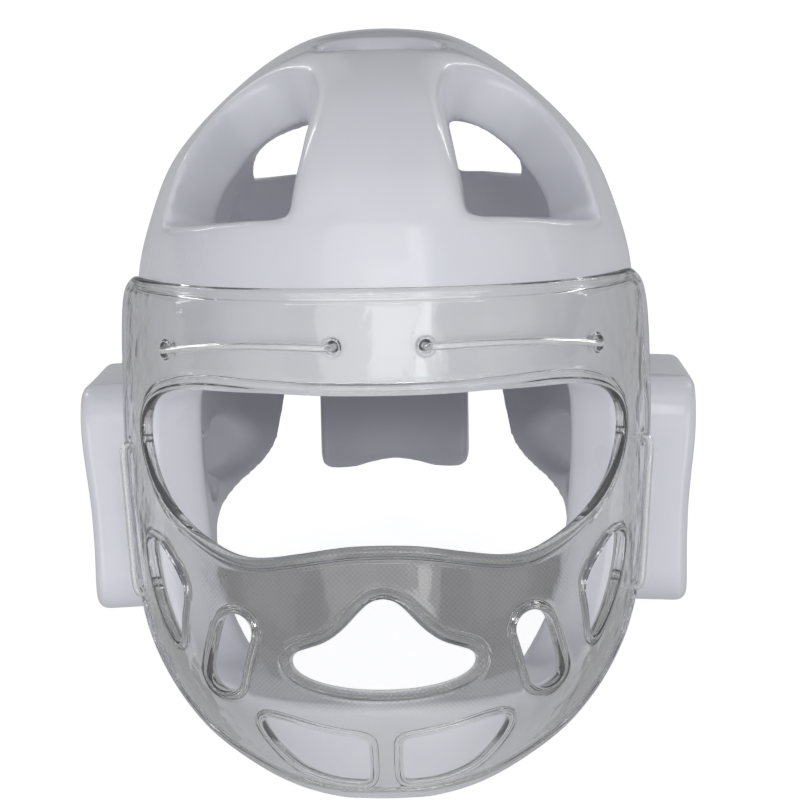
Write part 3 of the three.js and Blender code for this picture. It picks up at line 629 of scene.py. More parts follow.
# Shares of an outline's width from where it starts, and of its height from its top
eyeHalf = np.array([
    (0.0, 0.01), (0.25, 0.005), (0.5, -0.01), (0.72, -0.02), (0.86, 0.025), (0.945, 0.11), (0.99, 0.25),
    (0.99, 0.42), (0.955, 0.61), (0.885, 0.79), (0.79, 0.92), (0.68, 1.02), (0.58, 1.075), (0.48, 1.08),
    (0.34, 1.045), (0.16, 1.0), (0.0, 0.99),
])
mouthHalf = np.array([
    (0.0, 0.0), (0.13, 0.03), (0.25, 0.13), (0.37, 0.26), (0.5, 0.38), (0.64, 0.47), (0.8, 0.53),
    (0.95, 0.59), (1.0, 0.69), (0.94, 0.8), (0.8, 0.88), (0.6, 0.94), (0.32, 0.985), (0.0, 1.0),
])
cheekOutline = np.array([
    (0.0, 0.03), (0.12, 0.0), (0.25, 0.13), (0.36, 0.28), (0.41, 0.43), (0.385, 0.65), (0.35, 0.96),
    (0.24, 0.86), (0.12, 0.62), (0.03, 0.33),
])
chinHoleOutline = np.array([
    (0.0, 0.42), (0.03, 0.3), (0.38, 0.23), (0.75, 0.15), (1.15, 0.04), (1.45, 0.0), (1.5, 0.09),
    (1.37, 0.36), (1.12, 0.66), (0.86, 0.84), (0.5, 0.96), (0.12, 1.0), (0.0, 0.95),
])
# Shares of the width and height of the zone of painted shade with its weave
shadedWeaveHalf = np.array([
    (0.0, 0.0), (0.7, 0.0), (0.95, 0.08), (1.0, 0.25), (0.95, 0.5), (0.85, 0.75), (0.68, 0.92),
    (0.4, 1.0), (0.0, 1.0),
])
# Half width, height over the plate's inner face, depth behind it, and channel on top of each rim
rims = {
    "edge": (2.3, 4.0, 0.0, 0.35), "eye": (2.2, 4.4, 0.7, 0.5), "mouth": (1.9, 4.0, 1.2, 0.4),
    "slot": (1.7, 3.8, 2.4, 0.4), "cheek": (1.6, 3.7, 1.8, 0.35), "chin": (1.6, 3.7, 2.0, 0.35),
    "lacing": (0.7, 2.9, 0.0, 0.0),
}
# Place and width of the channels in half widths of the rim, and their depth as a share
channels = {"top": (1.02, 0.26, 1.0), "foot": (2.0, 0.32, 0.8)}
# Where rings of points run along each rim, in half widths from its edge
ringPlaces = np.array([
    0.03, 0.12, 0.26, 0.42, 0.6, 0.76, 0.89, 1.02, 1.15, 1.28, 1.44, 1.6, 1.76, 1.92, 2.08, 2.3, 2.6, 3.0,
])


# The plate's distance from the foam by height: a column of the sections, smoothed, times standOff.
def standOffProfile(column):
    z = np.arange(-120.0, 180.0, 1.0)
    share = np.interp(z, heights[::-1], sections[::-1, column])
    line = softened(np.stack([z, share], 1), 1.0, shield["evening"])
    return line[:, 0], line[:, 1] * shield["standOff"]


sideStandOff, noseStandOff = standOffProfile(4), standOffProfile(5)


# A point of the shield at an angle from the front and a height, lift outwards from its inner face.
def shieldPoint(angle, z, lift):
    s = shield
    width = np.interp(z, *outerProfiles[0]) + s["clearance"] + np.interp(z, *sideStandOff) + lift
    depth = np.interp(z, *outerProfiles[1]) + s["clearance"] + np.interp(z, *noseStandOff) + lift
    radius = ovalRadius(np.sin(angle), np.cos(angle), width, depth)
    return np.stack([radius * np.sin(angle), -radius * np.cos(angle), z], -1)


# The plate is drawn flat as (arc, z), where arc is the length round it at one level.
arcAngles = np.radians(np.arange(-90, 90.25, 0.25))
arcRing = shieldPoint(arcAngles, np.full_like(arcAngles, shield["level"]), 0)
arcLengths = np.concatenate([[0], np.cumsum(np.linalg.norm(np.diff(arcRing, axis=0), axis=1))])
arcLengths -= np.interp(0, arcAngles, arcLengths)


# The length round the plate at an angle from the front, and the angle at a length.
def toArc(angle):
    return np.interp(angle, arcAngles, arcLengths)


def fromArc(arc):
    return np.interp(arc, arcLengths, arcAngles)


# The angle at which the shield has a given x in front view, found by repetition.
def angleAt(x, z, lift=2.0):
    angle = np.zeros_like(np.asarray(x, float))
    for _ in range(30):
        p = shieldPoint(angle, z, lift)
        angle = np.arcsin(np.clip(x / np.hypot(p[..., 0], p[..., 1]), -1, 1))
    return angle


# An outline of shares in its place: x + share of the width, top - share of the height.
def placed(outline, x, top, width, height):
    return np.stack([x + outline[:, 0] * width, top - outline[:, 1] * height], 1)


# The same for half an outline, closed by its mirror image.
def bothHalves(half, *place):
    right = placed(half, *place)
    return np.concatenate([right, right[-2:0:-1] * (-1, 1)])


# A closed outline in front view (x, z) as one on the flat plate, evened and softened.
def onPlate(outline, soft, curved=True):
    line = smoothLine(outline, 8, True) if curved else outline
    flat = np.stack([toArc(angleAt(line[:, 0], line[:, 1])), line[:, 1]], 1)
    step = shield["edgeStep"]
    flat = evenLine(flat, step, True)
    return evenLine(softened(flat, step, soft, True), step, True)


# A slot with round ends: a circle drawn apart to its length, and turned by its lean.
def slotOutline():
    x, z, width, length = shield["slot"]
    lean = math.radians(shield["slotLean"])
    t = np.linspace(0, 2 * math.pi, 40, endpoint=False)
    u = width / 2 * np.cos(t)
    v = width / 2 * np.sin(t) + np.sign(np.sin(t) + 1e-9) * (length - width) / 2
    cosine, sine = math.cos(lean), math.sin(lean)
    return np.stack([x + u * cosine - v * sine, z + u * sine + v * cosine], 1)


# All outlines on the flat plate, each with the kind of its rim: its own edge, then the openings,
# where those beside the middle come with their mirror images.
def makeOutlines():
    s = shield
    up = np.linspace(0, 1, 120)
    angle = np.radians(s["halfAngle"]) * np.interp(up, rearEdge[:, 0], rearEdge[:, 1])
    right = np.stack([toArc(angle), -s["bottom"] + up * (s["top"] + s["bottom"])], 1)
    edge = evenLine(np.concatenate([right, right[::-1] * (-1, 1)]), s["edgeStep"], True)
    edge = evenLine(softened(edge, s["edgeStep"], s["softEdge"], True), s["edgeStep"], True)
    outlines = [("edge", edge), ("eye", onPlate(bothHalves(eyeHalf, *s["eye"]), s["softEye"])),
                ("mouth", onPlate(bothHalves(mouthHalf, *s["mouth"]), s["softSmall"]))]
    pairs = [("slot", onPlate(slotOutline(), s["softSmall"], False)),
             ("cheek", onPlate(placed(cheekOutline, *s["cheek"]), s["softSmall"])),
             ("chin", onPlate(placed(chinHoleOutline, *s["chin"]), s["softSmall"]))]
    turn = np.linspace(0, 2 * math.pi, 16, endpoint=False)
    circle = s["lacingHole"] * np.stack([np.cos(turn), np.sin(turn)], 1)
    pairs += [("lacing", circle + (toArc(angle), z)) for angle, z in lacingPlaces]
    for kind, line in pairs:
        outlines += [(kind, line), (kind, line[::-1] * (-1, 1))]
    return outlines


# Height of a rim's outer and inner face at a distance from its edge: an ellipse that starts at the
# middle of the rim and ends in the plate, with a shallow channel along its top and one at its foot.
def rimFaces(distance, kind):
    width, high, deep, channel = rims[kind]
    bend = np.sqrt(np.maximum(1 - ((distance - width) / width) ** 2, 0))
    centre, half = (high - deep) / 2, (high + deep) / 2
    grooves = sum(channel * depth * np.exp(-(((distance / width - place) / wide) ** 2))
                  for place, wide, depth in channels.values())
    return centre + half * bend, centre - half * bend, grooves, width


# The greater of two values, with a round of a given size where they meet.
def softMax(a, b, blend):
    h = np.maximum(blend - np.abs(a - b), 0) / blend
    return np.maximum(a, b) + h * h * blend / 4


# For each outline, a function that gives how far points are inside the plate from it.
def depthsFrom(outlines):
    def depthFrom(kind, line):
        field = outlineField(line, 1.0, 12.0)
        sign = -1 if kind == "edge" else 1
        return lambda p: sign * field(p[:, 0], p[:, 1])

    return [depthFrom(kind, line) for kind, line in outlines]


# Points of the flat plate: its outlines, rings moved inwards from each along its rim as far as no
# other outline is nearer, and between them rows of even triangles.
def platePoints(outlines, depths):
    spacing = shield["spacing"]
    points = [line for kind, line in outlines]
    for k, (kind, line) in enumerate(outlines):
        run = np.roll(line, -1, 0) - np.roll(line, 1, 0)
        run /= np.linalg.norm(run, axis=1, keepdims=True)
        area = 0.5 * np.sum(line[:, 0] * np.roll(line[:, 1], -1) - np.roll(line[:, 0], -1) * line[:, 1])
        outward = np.stack([run[:, 1], -run[:, 0]], 1) * (1 if area > 0 else -1)
        inward = -outward if kind == "edge" else outward
        for distance in rims[kind][0] * (ringPlaces[::2] if kind == "lacing" else ringPlaces):
            ring = line + inward * distance
            keep = depths[k](ring) > distance - shield["slack"]
            for depth in depths[:k] + depths[k + 1:]:
                keep &= depth(ring) > distance
            points.append(ring[keep])
    low, high = outlines[0][1].min(0), outlines[0][1].max(0)
    rows = np.arange(low[1], high[1], spacing * 0.866)  # the height of an even triangle
    u, v = np.meshgrid(np.arange(low[0], high[0], spacing), rows, indexing="ij")
    u = u + (np.arange(len(rows)) % 2) * spacing / 2
    grid = np.stack([u.ravel(), v.ravel()], 1)
    for (kind, line), depth in zip(outlines, depths):
        grid = grid[depth(grid) > rims[kind][0] * ringPlaces[-1] + spacing * shield["gap"]]
    return np.concatenate([*points, grid])


# The flat plate's points and triangles: a Delaunay net that keeps to the outlines, less what lies
# in the openings.
def plateNet(outlines, depths):
    borders = []
    for kind, line in outlines:
        loop = np.arange(len(line)) + len(borders)
        borders += np.stack([loop, np.roll(loop, -1)], 1).tolist()
    places = [Vector(p) for p in platePoints(outlines, depths).tolist()]
    found, _, faces, *_ = delaunay_2d_cdt(places, borders, [], 0, 1e-4)
    flat, faces = np.array([tuple(p) for p in found]), np.array(faces)
    centres = flat[faces].mean(1)
    faces = faces[np.all([depth(centres) > 0 for depth in depths], axis=0)]
    a, b, c = (flat[faces[:, i]] for i in range(3))
    turned = np.cross(b - a, c - a) < 0
    faces[turned] = faces[turned][:, ::-1]
    return flat, faces


# How far the plate's outer and inner faces stand out at its flat points: each rim's own heights over
# its half width, then eased into the plate over as much again. The faces meet along the border.
def plateLifts(flat, border, outlines, depths):
    s = shield
    outer = np.full(len(flat), s["thickness"])
    inner, groove = np.zeros(len(flat)), np.zeros(len(flat))
    for (kind, line), depth in zip(outlines, depths):
        distance = np.maximum(depth(flat), 0)
        high, low, channel, width = rimFaces(distance, kind)
        onRim, atFoot = distance < width, distance < 2 * width
        over = softMax(high, s["thickness"], s["footOutside"])
        under = -softMax(-low, 0, s["footInside"])
        outer = np.where(onRim, high, np.where(atFoot, np.maximum(outer, over), outer))
        inner = np.where(onRim, low, np.where(atFoot, np.minimum(inner, under), inner))
        groove = np.maximum(groove, np.where(distance < 2.9 * width, channel, 0))
    outer -= groove
    meeting = (outer + inner)[border] / 2
    outer[border], inner[border] = meeting, meeting
    return outer, inner


# The flat plate bent round the head, once as its outer face and once, turned over, as its inner.
def makeShield():
    s = shield
    outlines = makeOutlines()
    depths = depthsFrom(outlines)
    flat, faces = plateNet(outlines, depths)
    sides = np.sort(np.concatenate([faces[:, (0, 1)], faces[:, (1, 2)], faces[:, (2, 0)]]), axis=1)
    pairs, many = np.unique(sides, axis=0, return_counts=True)
    border = np.unique(pairs[many == 1])
    lifts = plateLifts(flat, border, outlines, depths)
    points = np.concatenate([shieldPoint(fromArc(flat[:, 0]), flat[:, 1], lift) for lift in lifts])
    second = np.arange(len(flat)) + len(flat)
    second[border] = border
    used, faces = np.unique(np.concatenate([faces, second[faces][:, ::-1]]), return_inverse=True)
    faces = faces.reshape(-1, 3)
    piece = makeMesh("faceShield", toRest(points[used]), faces)
    print("shield", len(faces), "triangles")
    # painted shade of the hollow behind the plate darkens its outer face between the eyes and the lower lip,
    # patterned as a fine cross weave
    shadedWeaveEdge = onPlate(bothHalves(shadedWeaveHalf, *s["shadedWeave"]), s["softEye"])
    shadedWeave = fade(-outlineField(shadedWeaveEdge)(flat[:, 0], flat[:, 1]), 0, s["shadedWeaveFade"])
    arc, high = flat.T / 1000
    for word, before, behind in (("shadedWeave", shadedWeave, 0 * shadedWeave), ("arc", arc, arc), ("high", high, high)):
        giveShare(piece, word, np.concatenate([before, behind])[used])
    return piece


# Lacing ties
ties = {
    "diameter": 2.6,
    "holeRoom": 1.2,  # round a tie in its hole in the foam
    "clearance": 1.15,  # from the plate, and from the inner skin to a knot
    "bend": 0.03,  # share of a tie's way along the plate that each bend at a hole takes
    "browInner": 16.0, "browOuter": 75.5, "browHeight": 67.0, "browOuterHeight": 63.6, "arch": 2.0,
    "sideTop": 24.0, "sideBottom": 31.0, "sideAngle": 59.5, "sideLean": 2.0,
    "aside": 8.0,  # how far the side ties' ends turn away from the face opening
    "step": 0.6, "evening": 1.1,  # between a tie's points, and the length over which it is smoothed
    "knotRadius": 2.5, "coilRadius": 1.3, "coilWire": 0.95, "coilTurns": 2.6,
    "coilRise": (0.2, 4.2), "coilPoints": 90, "coilTip": 4,
}
tieLift = shield["thickness"] + ties["diameter"] / 2 + ties["clearance"]
lacingPlaces = [  # angle from the front, and height
    (float(angleAt(ties["browInner"], ties["browHeight"])), ties["browHeight"]),
    (float(angleAt(ties["browOuter"], ties["browOuterHeight"])), ties["browOuterHeight"]),
    (math.radians(ties["sideAngle"] + ties["sideLean"]), ties["sideTop"]),
    (math.radians(ties["sideAngle"] - ties["sideLean"]), -ties["sideBottom"]),
]


# Where a tie bends over at its hole in the shield, and its knot, just inside the foam's inner skin
# on the level line towards the middle of the head.
def tieEnd(angle, z):
    t = ties
    outside = shieldPoint(np.array(angle), np.array(z), tieLift)
    radius = shellRadius(innerProfiles, math.sin(angle), math.cos(angle), z)
    inside = np.array([radius * math.sin(angle), -radius * math.cos(angle), z])
    inward = (inside - outside) / np.linalg.norm(inside - outside)
    return outside, inside + inward * (t["knotRadius"] + t["clearance"])


# A round tube along a path, centre + radius (across cos + over sin). side is a direction that the
# path never follows.
def tube(path, radius, side, sides=14):
    run = np.gradient(path, axis=0)
    run /= np.linalg.norm(run, axis=1, keepdims=True)
    across = np.cross(run, side)
    across /= np.linalg.norm(across, axis=1, keepdims=True)
    over = np.cross(across, run)
    turn = np.linspace(0, 2 * math.pi, sides, endpoint=False)[None, :, None]
    rings = across[:, None] * np.cos(turn) + over[:, None] * np.sin(turn)
    rings = path[:, None] + np.asarray(radius)[:, None, None] * rings
    i, j = np.meshgrid(np.arange(len(path) - 1) * sides, np.arange(sides), indexing="ij")
    k = (j + 1) % sides
    quads = np.stack([i + j, i + k, i + sides + k, i + sides + j], -1).reshape(-1, 4)
    return rings.reshape(-1, 3), quads


# Thickness of a cord at its points as a share: 1, and a half circle's over the last few at each end.
def roundedEnds(count, over):
    away = np.minimum(np.arange(count), np.arange(count)[::-1])
    return np.sqrt(np.clip(1 - np.maximum(1 - away / over, 0) ** 2, 0.0004, 1))


# A coil of wire round one end of a path: end + axis rise + radius (first cos + second sin).
def knotCoil(end, inner, side):
    t = ties
    axis = (inner - end) / np.linalg.norm(inner - end)
    first = np.cross(axis, side)
    first /= np.linalg.norm(first)
    second = np.cross(axis, first)
    turn = np.linspace(0, t["coilTurns"] * 2 * math.pi, t["coilPoints"])[:, None]
    rise = np.linspace(*t["coilRise"], t["coilPoints"])[:, None]
    coil = end + axis * rise + t["coilRadius"] * (first * np.cos(turn) + second * np.sin(turn))
    return tube(coil, t["coilWire"] * roundedEnds(t["coilPoints"], t["coilTip"]), axis, 10)


# A tie comes from its knot out through the foam and the shield, follows the plate with an arch of
# half a sine wave, and goes back in. aside turns its inner ends away along the skin.
def makeTie(name, places, side, arch, aside, mirror):
    t = ties
    share = np.array([t["bend"], 0.25, 0.5, 0.75, 1 - t["bend"]])
    angle, z = (first + (last - first) * share for first, last in zip(*places))
    along = shieldPoint(angle, z + arch * np.sin(math.pi * share), tieLift)
    into = np.array([1, 0.7, 0.4, 0.13])[:, None]  # shares of the way from the bend to the knot
    turned = np.array([1, 0.45, 0, 0])[:, None]
    ends = []
    for angle, z in places:
        out, knot = tieEnd(angle, z)
        away = aside * np.array([math.cos(angle), math.sin(angle), 0])
        ends.append(out + (knot - out) * into + away * turned)
    path = evenLine(smoothLine(np.concatenate([ends[0], along, ends[1][::-1]]), 12), t["step"])
    path = softened(path, t["step"], t["evening"])
    thick = t["diameter"] / 2 * roundedEnds(len(path), t["diameter"] / 2 / t["step"])
    parts = [tube(path, thick, side), knotCoil(path[0], path[6], side), knotCoil(path[-1], path[-7], side)]
    starts = np.cumsum([0] + [len(points) for points, quads in parts])
    faces = np.concatenate([quads + start for (points, quads), start in zip(parts, starts)])
    points = np.concatenate([points for points, quads in parts])
    if mirror:
        points, faces = points * (-1, 1, 1), faces[:, ::-1]
    return makeMesh(name, toRest(points), faces)


# Materials. A Value is a number on its way through the nodes, and takes + - * like any other.
class Value:
    def __init__(self, look, socket):
        self.look, self.socket = look, socket

    def __add__(self, other):
        return self.look.maths("ADD", self, other)

    def __radd__(self, other):
        return self.look.maths("ADD", other, self)

    def __sub__(self, other):
        return self.look.maths("SUBTRACT", self, other)

    def __rsub__(self, other):
        return self.look.maths("SUBTRACT", other, self)

    def __mul__(self, other):
        return self.look.maths("MULTIPLY", self, other)

    def __rmul__(self, other):
        return self.look.maths("MULTIPLY", other, self)


# The nodes of a material or of the air.
class Look:
    def __init__(self, owner, output="ShaderNodeOutputMaterial"):
        owner.use_nodes = True
        self.owner, self.tree = owner, owner.node_tree
        self.tree.nodes.clear()
        self.output = self.add(output, {}, {})

    # One node: its settings first, then values or links for its sockets.
    def add(self, kind, settings, sockets):
        node = self.tree.nodes.new(kind)
        for key, value in settings.items():
            setattr(node, key, value)
        for key, value in sockets.items():
            value = value.socket if isinstance(value, Value) else value
            if isinstance(value, bpy.types.NodeSocket):
                self.tree.links.new(value, node.inputs[key])
            else:
                node.inputs[key].default_value = value
        return node

    def maths(self, operation, first, second):
        node = self.add("ShaderNodeMath", {"operation": operation}, {0: first, 1: second})
        return Value(self, node.outputs[0])

    def maximum(self, first, second):
        return self.maths("MAXIMUM", first, second)

    def sine(self, value):
        return self.maths("SINE", value, 0.0)

    def objectPlace(self):
        return self.add("ShaderNodeTexCoord", {}, {}).outputs["Object"]

    def attribute(self, name):
        return Value(self, self.add("ShaderNodeAttribute", {"attribute_name": name}, {}).outputs["Fac"])

    def noise(self, place, scale, detail=2.0, rough=0.5):
        sockets = {"Vector": place, "Scale": scale, "Detail": detail, "Roughness": rough}
        return Value(self, self.add("ShaderNodeTexNoise", {}, sockets).outputs["Fac"])

    # 0 below low, 1 above high, and a smooth step between them.
    def ramp(self, value, low, high):
        sockets = {"Value": value, "From Min": low, "From Max": high, "To Min": 0.0, "To Max": 1.0}
        node = self.add("ShaderNodeMapRange", {"interpolation_type": "SMOOTHSTEP"}, sockets)
        return Value(self, node.outputs["Result"])

    def blend(self, share, first, second):
        return self.add("ShaderNodeMix", {"data_type": "RGBA"}, {0: share, 6: first, 7: second}).outputs[2]

    def bump(self, height, strength, distance):
        sockets = {"Height": height, "Strength": strength, "Distance": distance}
        return self.add("ShaderNodeBump", {}, sockets).outputs["Normal"]

    # 1 for rays of a kind and 0 for others, for each kind that is named.
    def rays(self, *kinds):
        path = self.add("ShaderNodeLightPath", {}, {})
        return [Value(self, path.outputs[f"Is {kind} Ray"]) for kind in kinds]

    def shader(self, kind, sockets):
        return self.add(f"ShaderNode{kind}", {}, sockets).outputs[0]

    def mixShader(self, share, first, second):
        return self.shader("MixShader", {0: share, 1: first, 2: second})

    def finish(self, shader):
        self.tree.links.new(shader, self.output.inputs["Surface"])
        return self.owner


def rgb(r, g, b):
    return (r, g, b, 1.0)


foamFinish = {
    "white": rgb(0.815, 0.825, 0.885), "brighter": rgb(0.845, 0.853, 0.905),
    # inner is the grey of the painted shade on the inner skin
    "scuffed": rgb(0.7, 0.7, 0.72), "inner": rgb(0.36, 0.36, 0.4),
    "roughness": 0.24, "innerRoughness": 0.6, "coat": 0.5, "dents": 0.0012,
}


# A white vinyl skin with soft dents and an orange-peel surface; painted shade makes it matt grey deep
# inside.
def makeFoamLook():
    f = foamFinish
    look = Look(bpy.data.materials.new("dippedFoam"))
    place = look.objectPlace()
    broad = look.noise(place, 26.0)
    wave = look.noise(place, 90.0)
    peel = look.noise(place, 900.0, 3.0)
    scuff = look.ramp(look.noise(place, 40.0, 6.0, 0.7), 0.62, 0.75)
    colour = look.blend(look.ramp(broad, 0.35, 0.65), f["white"], f["brighter"])
    colour = look.blend(scuff * 0.25, colour, f["scuffed"])
    # the inside share is painted shade: it greys the colour and takes the coat away
    inside = look.attribute("inside")
    return look.finish(look.shader("BsdfPrincipled", {
        "Base Color": look.blend(inside, colour, f["inner"]),
        "Roughness": look.maximum(f["roughness"] + broad * 0.1 + scuff * 0.15, inside * f["innerRoughness"]),
        "IOR": 1.48,
        "Coat Weight": f["coat"] - inside * f["coat"],
        "Coat Roughness": 0.05,
        "Normal": look.bump(wave * 0.5 + peel * 0.015 + broad, 0.35, f["dents"]),
    }))


# woven is the dark of the painted shade over the hollow behind the plate; weave, weaveGap, weaveDepth and
# weavePatch set its strength and its weave pattern
shieldFinish = {
    "clear": rgb(0.9, 0.896, 0.882), "shadedWeave": rgb(0.51, 0.5, 0.472), "threads": 3500.0,
    "weave": 0.24, "weaveGap": 0.12, "weaveDepth": 0.06, "weavePatch": 0.1, "waves": 0.0011,
}


# Clear plastic with shallow waves, and painted shade over the hollow of the head behind it, patterned as a
# weave: the sum of two slanting sine waves, deeper in patches. Light and shadow rays go straight through.
def makeShieldLook():
    f = shieldFinish
    look = Look(bpy.data.materials.new("clearShield"))
    place = look.objectPlace()
    wave = look.noise(place, 38.0)
    cloud = look.noise(place, 70.0, 4.0, 0.6)
    arc, high = look.attribute("arc"), look.attribute("high")
    weave = look.sine((arc + high) * f["threads"]) + look.sine((arc - high) * f["threads"])
    patchy = look.ramp(cloud, 0.36, 0.6)
    thread = f["weave"] + weave * (f["weaveDepth"] + f["weavePatch"] * patchy)
    # painted shade over the hollow behind the plate, with its weave
    dark = look.attribute("shadedWeave") * (thread - (1.0 - patchy) * f["weaveGap"])
    smear = look.ramp(cloud, 0.56, 0.7)
    body = look.shader("BsdfPrincipled", {
        "Base Color": look.blend(dark, f["clear"], f["shadedWeave"]),
        "Roughness": 0.012 + smear * 0.06,
        "IOR": 1.49,
        "Transmission Weight": 1.0,
        "Normal": look.bump(wave + cloud * 0.16, 0.65, f["waves"]),
    })
    clear = look.shader("BsdfTransparent", {"Color": rgb(0.97, 0.97, 0.97)})
    light = look.maximum(*look.rays("Shadow", "Diffuse"))
    return look.finish(look.mixShader(look.maximum(light, 0.04), body, clear))


cordFinish = {"clear": rgb(0.84, 0.85, 0.86), "milky": rgb(0.92, 0.93, 0.94), "roughness": 0.12}


# Clear plastic cord, slightly cloudy, with a thin shadow.
def makeCordLook():
    f = cordFinish
    look = Look(bpy.data.materials.new("clearCord"))
    cloud = look.noise(look.objectPlace(), 500.0, 3.0)
    body = look.shader("BsdfPrincipled", {
        "Base Color": look.blend(cloud, f["clear"], f["milky"]),
        "Roughness": f["roughness"] + cloud * 0.1,
        "IOR": 1.45,
        "Transmission Weight": 0.75,
        "Normal": look.bump(cloud, 0.2, 0.0003),
    })
    clear = look.shader("BsdfTransparent", {"Color": rgb(0.85, 0.85, 0.85)})
    return look.finish(look.mixShader(*look.rays("Shadow"), body, clear))


foamLook, shieldLook, cordLook = makeFoamLook(), makeShieldLook(), makeCordLook()

# Assembly
holes = [(*tieEnd(*place), ties["diameter"] / 2 + ties["holeRoom"]) for place in lacingPlaces]
foamShell = finishPiece(makeFoamShell(holes), foamLook, "foam_shell")
print("foam shell", len(foamShell.data.polygons), "quads")
for side, word in ((1, "right"), (-1, "left")):
    pad = makePad("earPad" + word.capitalize(), side)
    finishPiece(pad, foamLook, "ear_pad_" + word)
    print("ear pad", word, len(pad.data.polygons), "quads")
finishPiece(makeShield(), shieldLook, "face_shield")
sideAngle = math.radians(ties["sideAngle"])
sideways = np.array([math.cos(sideAngle), math.sin(sideAngle), 0])
upwards = np.array([0.0, 0.0, 1.0])
for kind, places, across, arch, aside in (("forehead", lacingPlaces[:2], upwards, ties["arch"], 0.0),
                                          ("side", lacingPlaces[2:], sideways, 0.0, ties["aside"])):
    for mirror, word in ((False, "right"), (True, "left")):
        tie = makeTie("tie" + kind.capitalize() + word.capitalize(), places, across, arch, aside, mirror)
        finishPiece(tie, cordLook, f"tie_{kind}_{word}")
print("ties done")

# Studio. The floor glows for the camera and through the clear shield, and stays dim as a light.
studio = {
    "floor": 4.0, "glow": 0.82, "glowThrough": 0.22, "glowLight": 0.1, "glowMirrored": 0.15,
    "floorColour": rgb(0.55, 0.55, 0.56), "warm": rgb(1, 0.99, 0.975),
    "air": rgb(0.96, 0.97, 1.0), "airLight": 0.29, "airSeen": 0.05,
    "distance": 1.7, "aim": (0, -0.03, 0.13),  # of the softboxes
}


# A softbox on each side, with the same values but for the sign of its turn.
def pair(name, turn, *others):
    return {name + "Right": (-turn, *others), name + "Left": (turn, *others)}


# Turn and rise of each softbox round the aim, its width, height and strength; those named foam or
# bead light only the foam or only the clear parts
softboxes = {
    "frontWide": (-1.5, 28.0, 0.95, 0.95, 1.15),
    "frontWindow": (1.5, 24.0, 0.26, 0.34, 1.6), "frontBright": (9.5, 28.0, 0.15, 0.8, 2.2),
    **pair("foamLow", 40.0, 6.0, 0.9, 0.45, 2.3),
    **pair("foamSide", 48.0, 27.0, 1.2, 1.1, 0.16),
    **pair("foamBack", 150.0, 22.0, 1.2, 1.1, 0.4),
    "foamTop": (0.0, 64.0, 1.6, 0.7, 0.8), "foamLowFront": (0.0, 3.0, 1.3, 0.3, 0.9),
    **pair("glint", 131.0, 30.0, 0.1, 0.7, 9.0),
    **pair("beadSide", 50.0, 27.0, 1.0, 1.1, 0.35),
    **pair("bead", 100.0, 20.0, 0.12, 1.2, 6.0),
    "beadTop": (0.0, 49.0, 1.9, 0.16, 6.0), "beadLow": (0.0, 2.0, 2.4, 0.09, 6.0),
}


# A flat square. What it gives off is the full glow, less through the shield, and least as light and
# for most of what is mirrored.
def makeFloor():
    size = studio["floor"]
    corners = np.array([(-size, -size, 0), (size, -size, 0), (size, size, 0), (-size, size, 0)], float)
    floor = makeMesh("floor", corners, np.array([[0, 1, 2, 3]]))
    look = Look(bpy.data.materials.new("paleFloor"))
    lit = look.shader("BsdfDiffuse", {"Color": studio["floorColour"]})
    glow = look.shader("Emission", {"Color": rgb(1, 1, 1), "Strength": studio["glow"]})
    dark = look.shader("Emission", {"Color": rgb(1, 1, 1), "Strength": studio["glowLight"]})
    through = look.shader("Emission", {"Color": studio["warm"], "Strength": studio["glowThrough"]})
    diffuse, glossy, passing = look.rays("Diffuse", "Glossy", "Transmission")
    seen = look.mixShader(passing, glow, through)
    seen = look.mixShader(diffuse + glossy * (1 - studio["glowMirrored"]), seen, dark)
    floor.data.materials.append(look.finish(look.shader("AddShader", {0: lit, 1: seen})))


# A rectangle of light at a turn and a rise round the aim and facing it, with a power of pi times its
# strength and area.
def makeSoftbox(name, turn, rise, width, height, strength):
    turn, rise = math.radians(turn), math.radians(rise)
    flat = math.cos(rise)
    away = Vector((math.sin(turn) * flat, -math.cos(turn) * flat, math.sin(rise))) * studio["distance"]
    light = bpy.data.lights.new(name, "AREA")
    light.shape, light.size, light.size_y = "RECTANGLE", width, height
    light.energy = strength * math.pi * width * height
    lamp = bpy.data.objects.new(name, light)
    lamp.location = Vector(studio["aim"]) + away
    lamp.rotation_euler = (-away).to_track_quat("-Z", "Y").to_euler()
    bpy.context.scene.collection.objects.link(lamp)
    return lamp


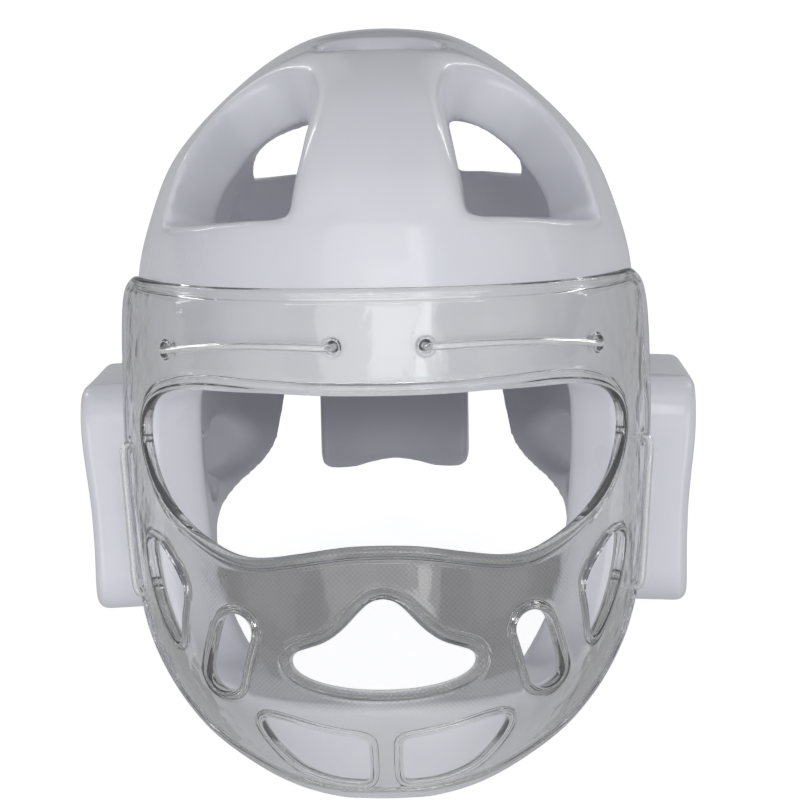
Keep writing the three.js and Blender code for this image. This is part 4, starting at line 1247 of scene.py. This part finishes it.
# Air that is lighter as a light than where it is mirrored or seen through the shield.
def makeAir():
    look = Look(bpy.data.worlds.new("air"), "ShaderNodeOutputWorld")
    diffuse = look.rays("Diffuse")[0]
    strength = studio["airSeen"] + diffuse * (studio["airLight"] - studio["airSeen"])
    return look.finish(look.shader("Background", {"Color": studio["air"], "Strength": strength}))


scene = bpy.context.scene
receivers = {"bead": bpy.data.collections.new("clearParts"), "foam": bpy.data.collections.new("foamParts")}
for piece in scene.objects:
    clear = piece.name.startswith(("faceShield", "tie"))
    receivers["bead" if clear else "foam"].objects.link(piece)
makeFloor()
for name, values in softboxes.items():
    lamp = makeSoftbox(name, *values)
    if name[:4] in receivers:
        lamp.light_linking.receiver_collection = receivers[name[:4]]
scene.world = makeAir()
scene.view_settings.view_transform = "Standard"
scene.cycles.use_denoising = True
scene.cycles.max_bounces = 14
scene.cycles.transmission_bounces = 10
scene.cycles.transparent_max_bounces = 16

# Camera, in the head frame: 8 degrees above level and 1.2 degrees to one side, rolled by 1.1 degrees
view = {"distance": 1050.0, "focus": 2730.0, "pixels": 800.0, "rise": 8.0, "turn": 1.2, "roll": 1.1,
        "target": (4.3, 0.0, 31.6)}
rise, turn, roll = (math.radians(view[k]) for k in ("rise", "turn", "roll"))
back = np.array([math.sin(turn) * math.cos(rise), -math.cos(turn) * math.cos(rise), math.sin(rise)])
right = np.cross(-back, (0, 0, 1))
right /= np.linalg.norm(right)
upward = np.cross(right, -back)
across = right * math.cos(roll) - upward * math.sin(roll)
along = upward * math.cos(roll) + right * math.sin(roll)
axes = Matrix([Matrix.Rotation(restLean, 3, "X") @ Vector(v) for v in (across, along, back)])
camera = bpy.data.objects.new("camera", bpy.data.cameras.new("camera"))
camera.data.sensor_width = 36
camera.data.lens = 36 * view["focus"] / view["pixels"]
place = Vector(toRest(np.array(view["target"]) + back * view["distance"]))
camera.matrix_world = Matrix.Translation(place) @ axes.transposed().to_4x4()
scene.collection.objects.link(camera)
scene.camera = camera
print("studio and camera done")
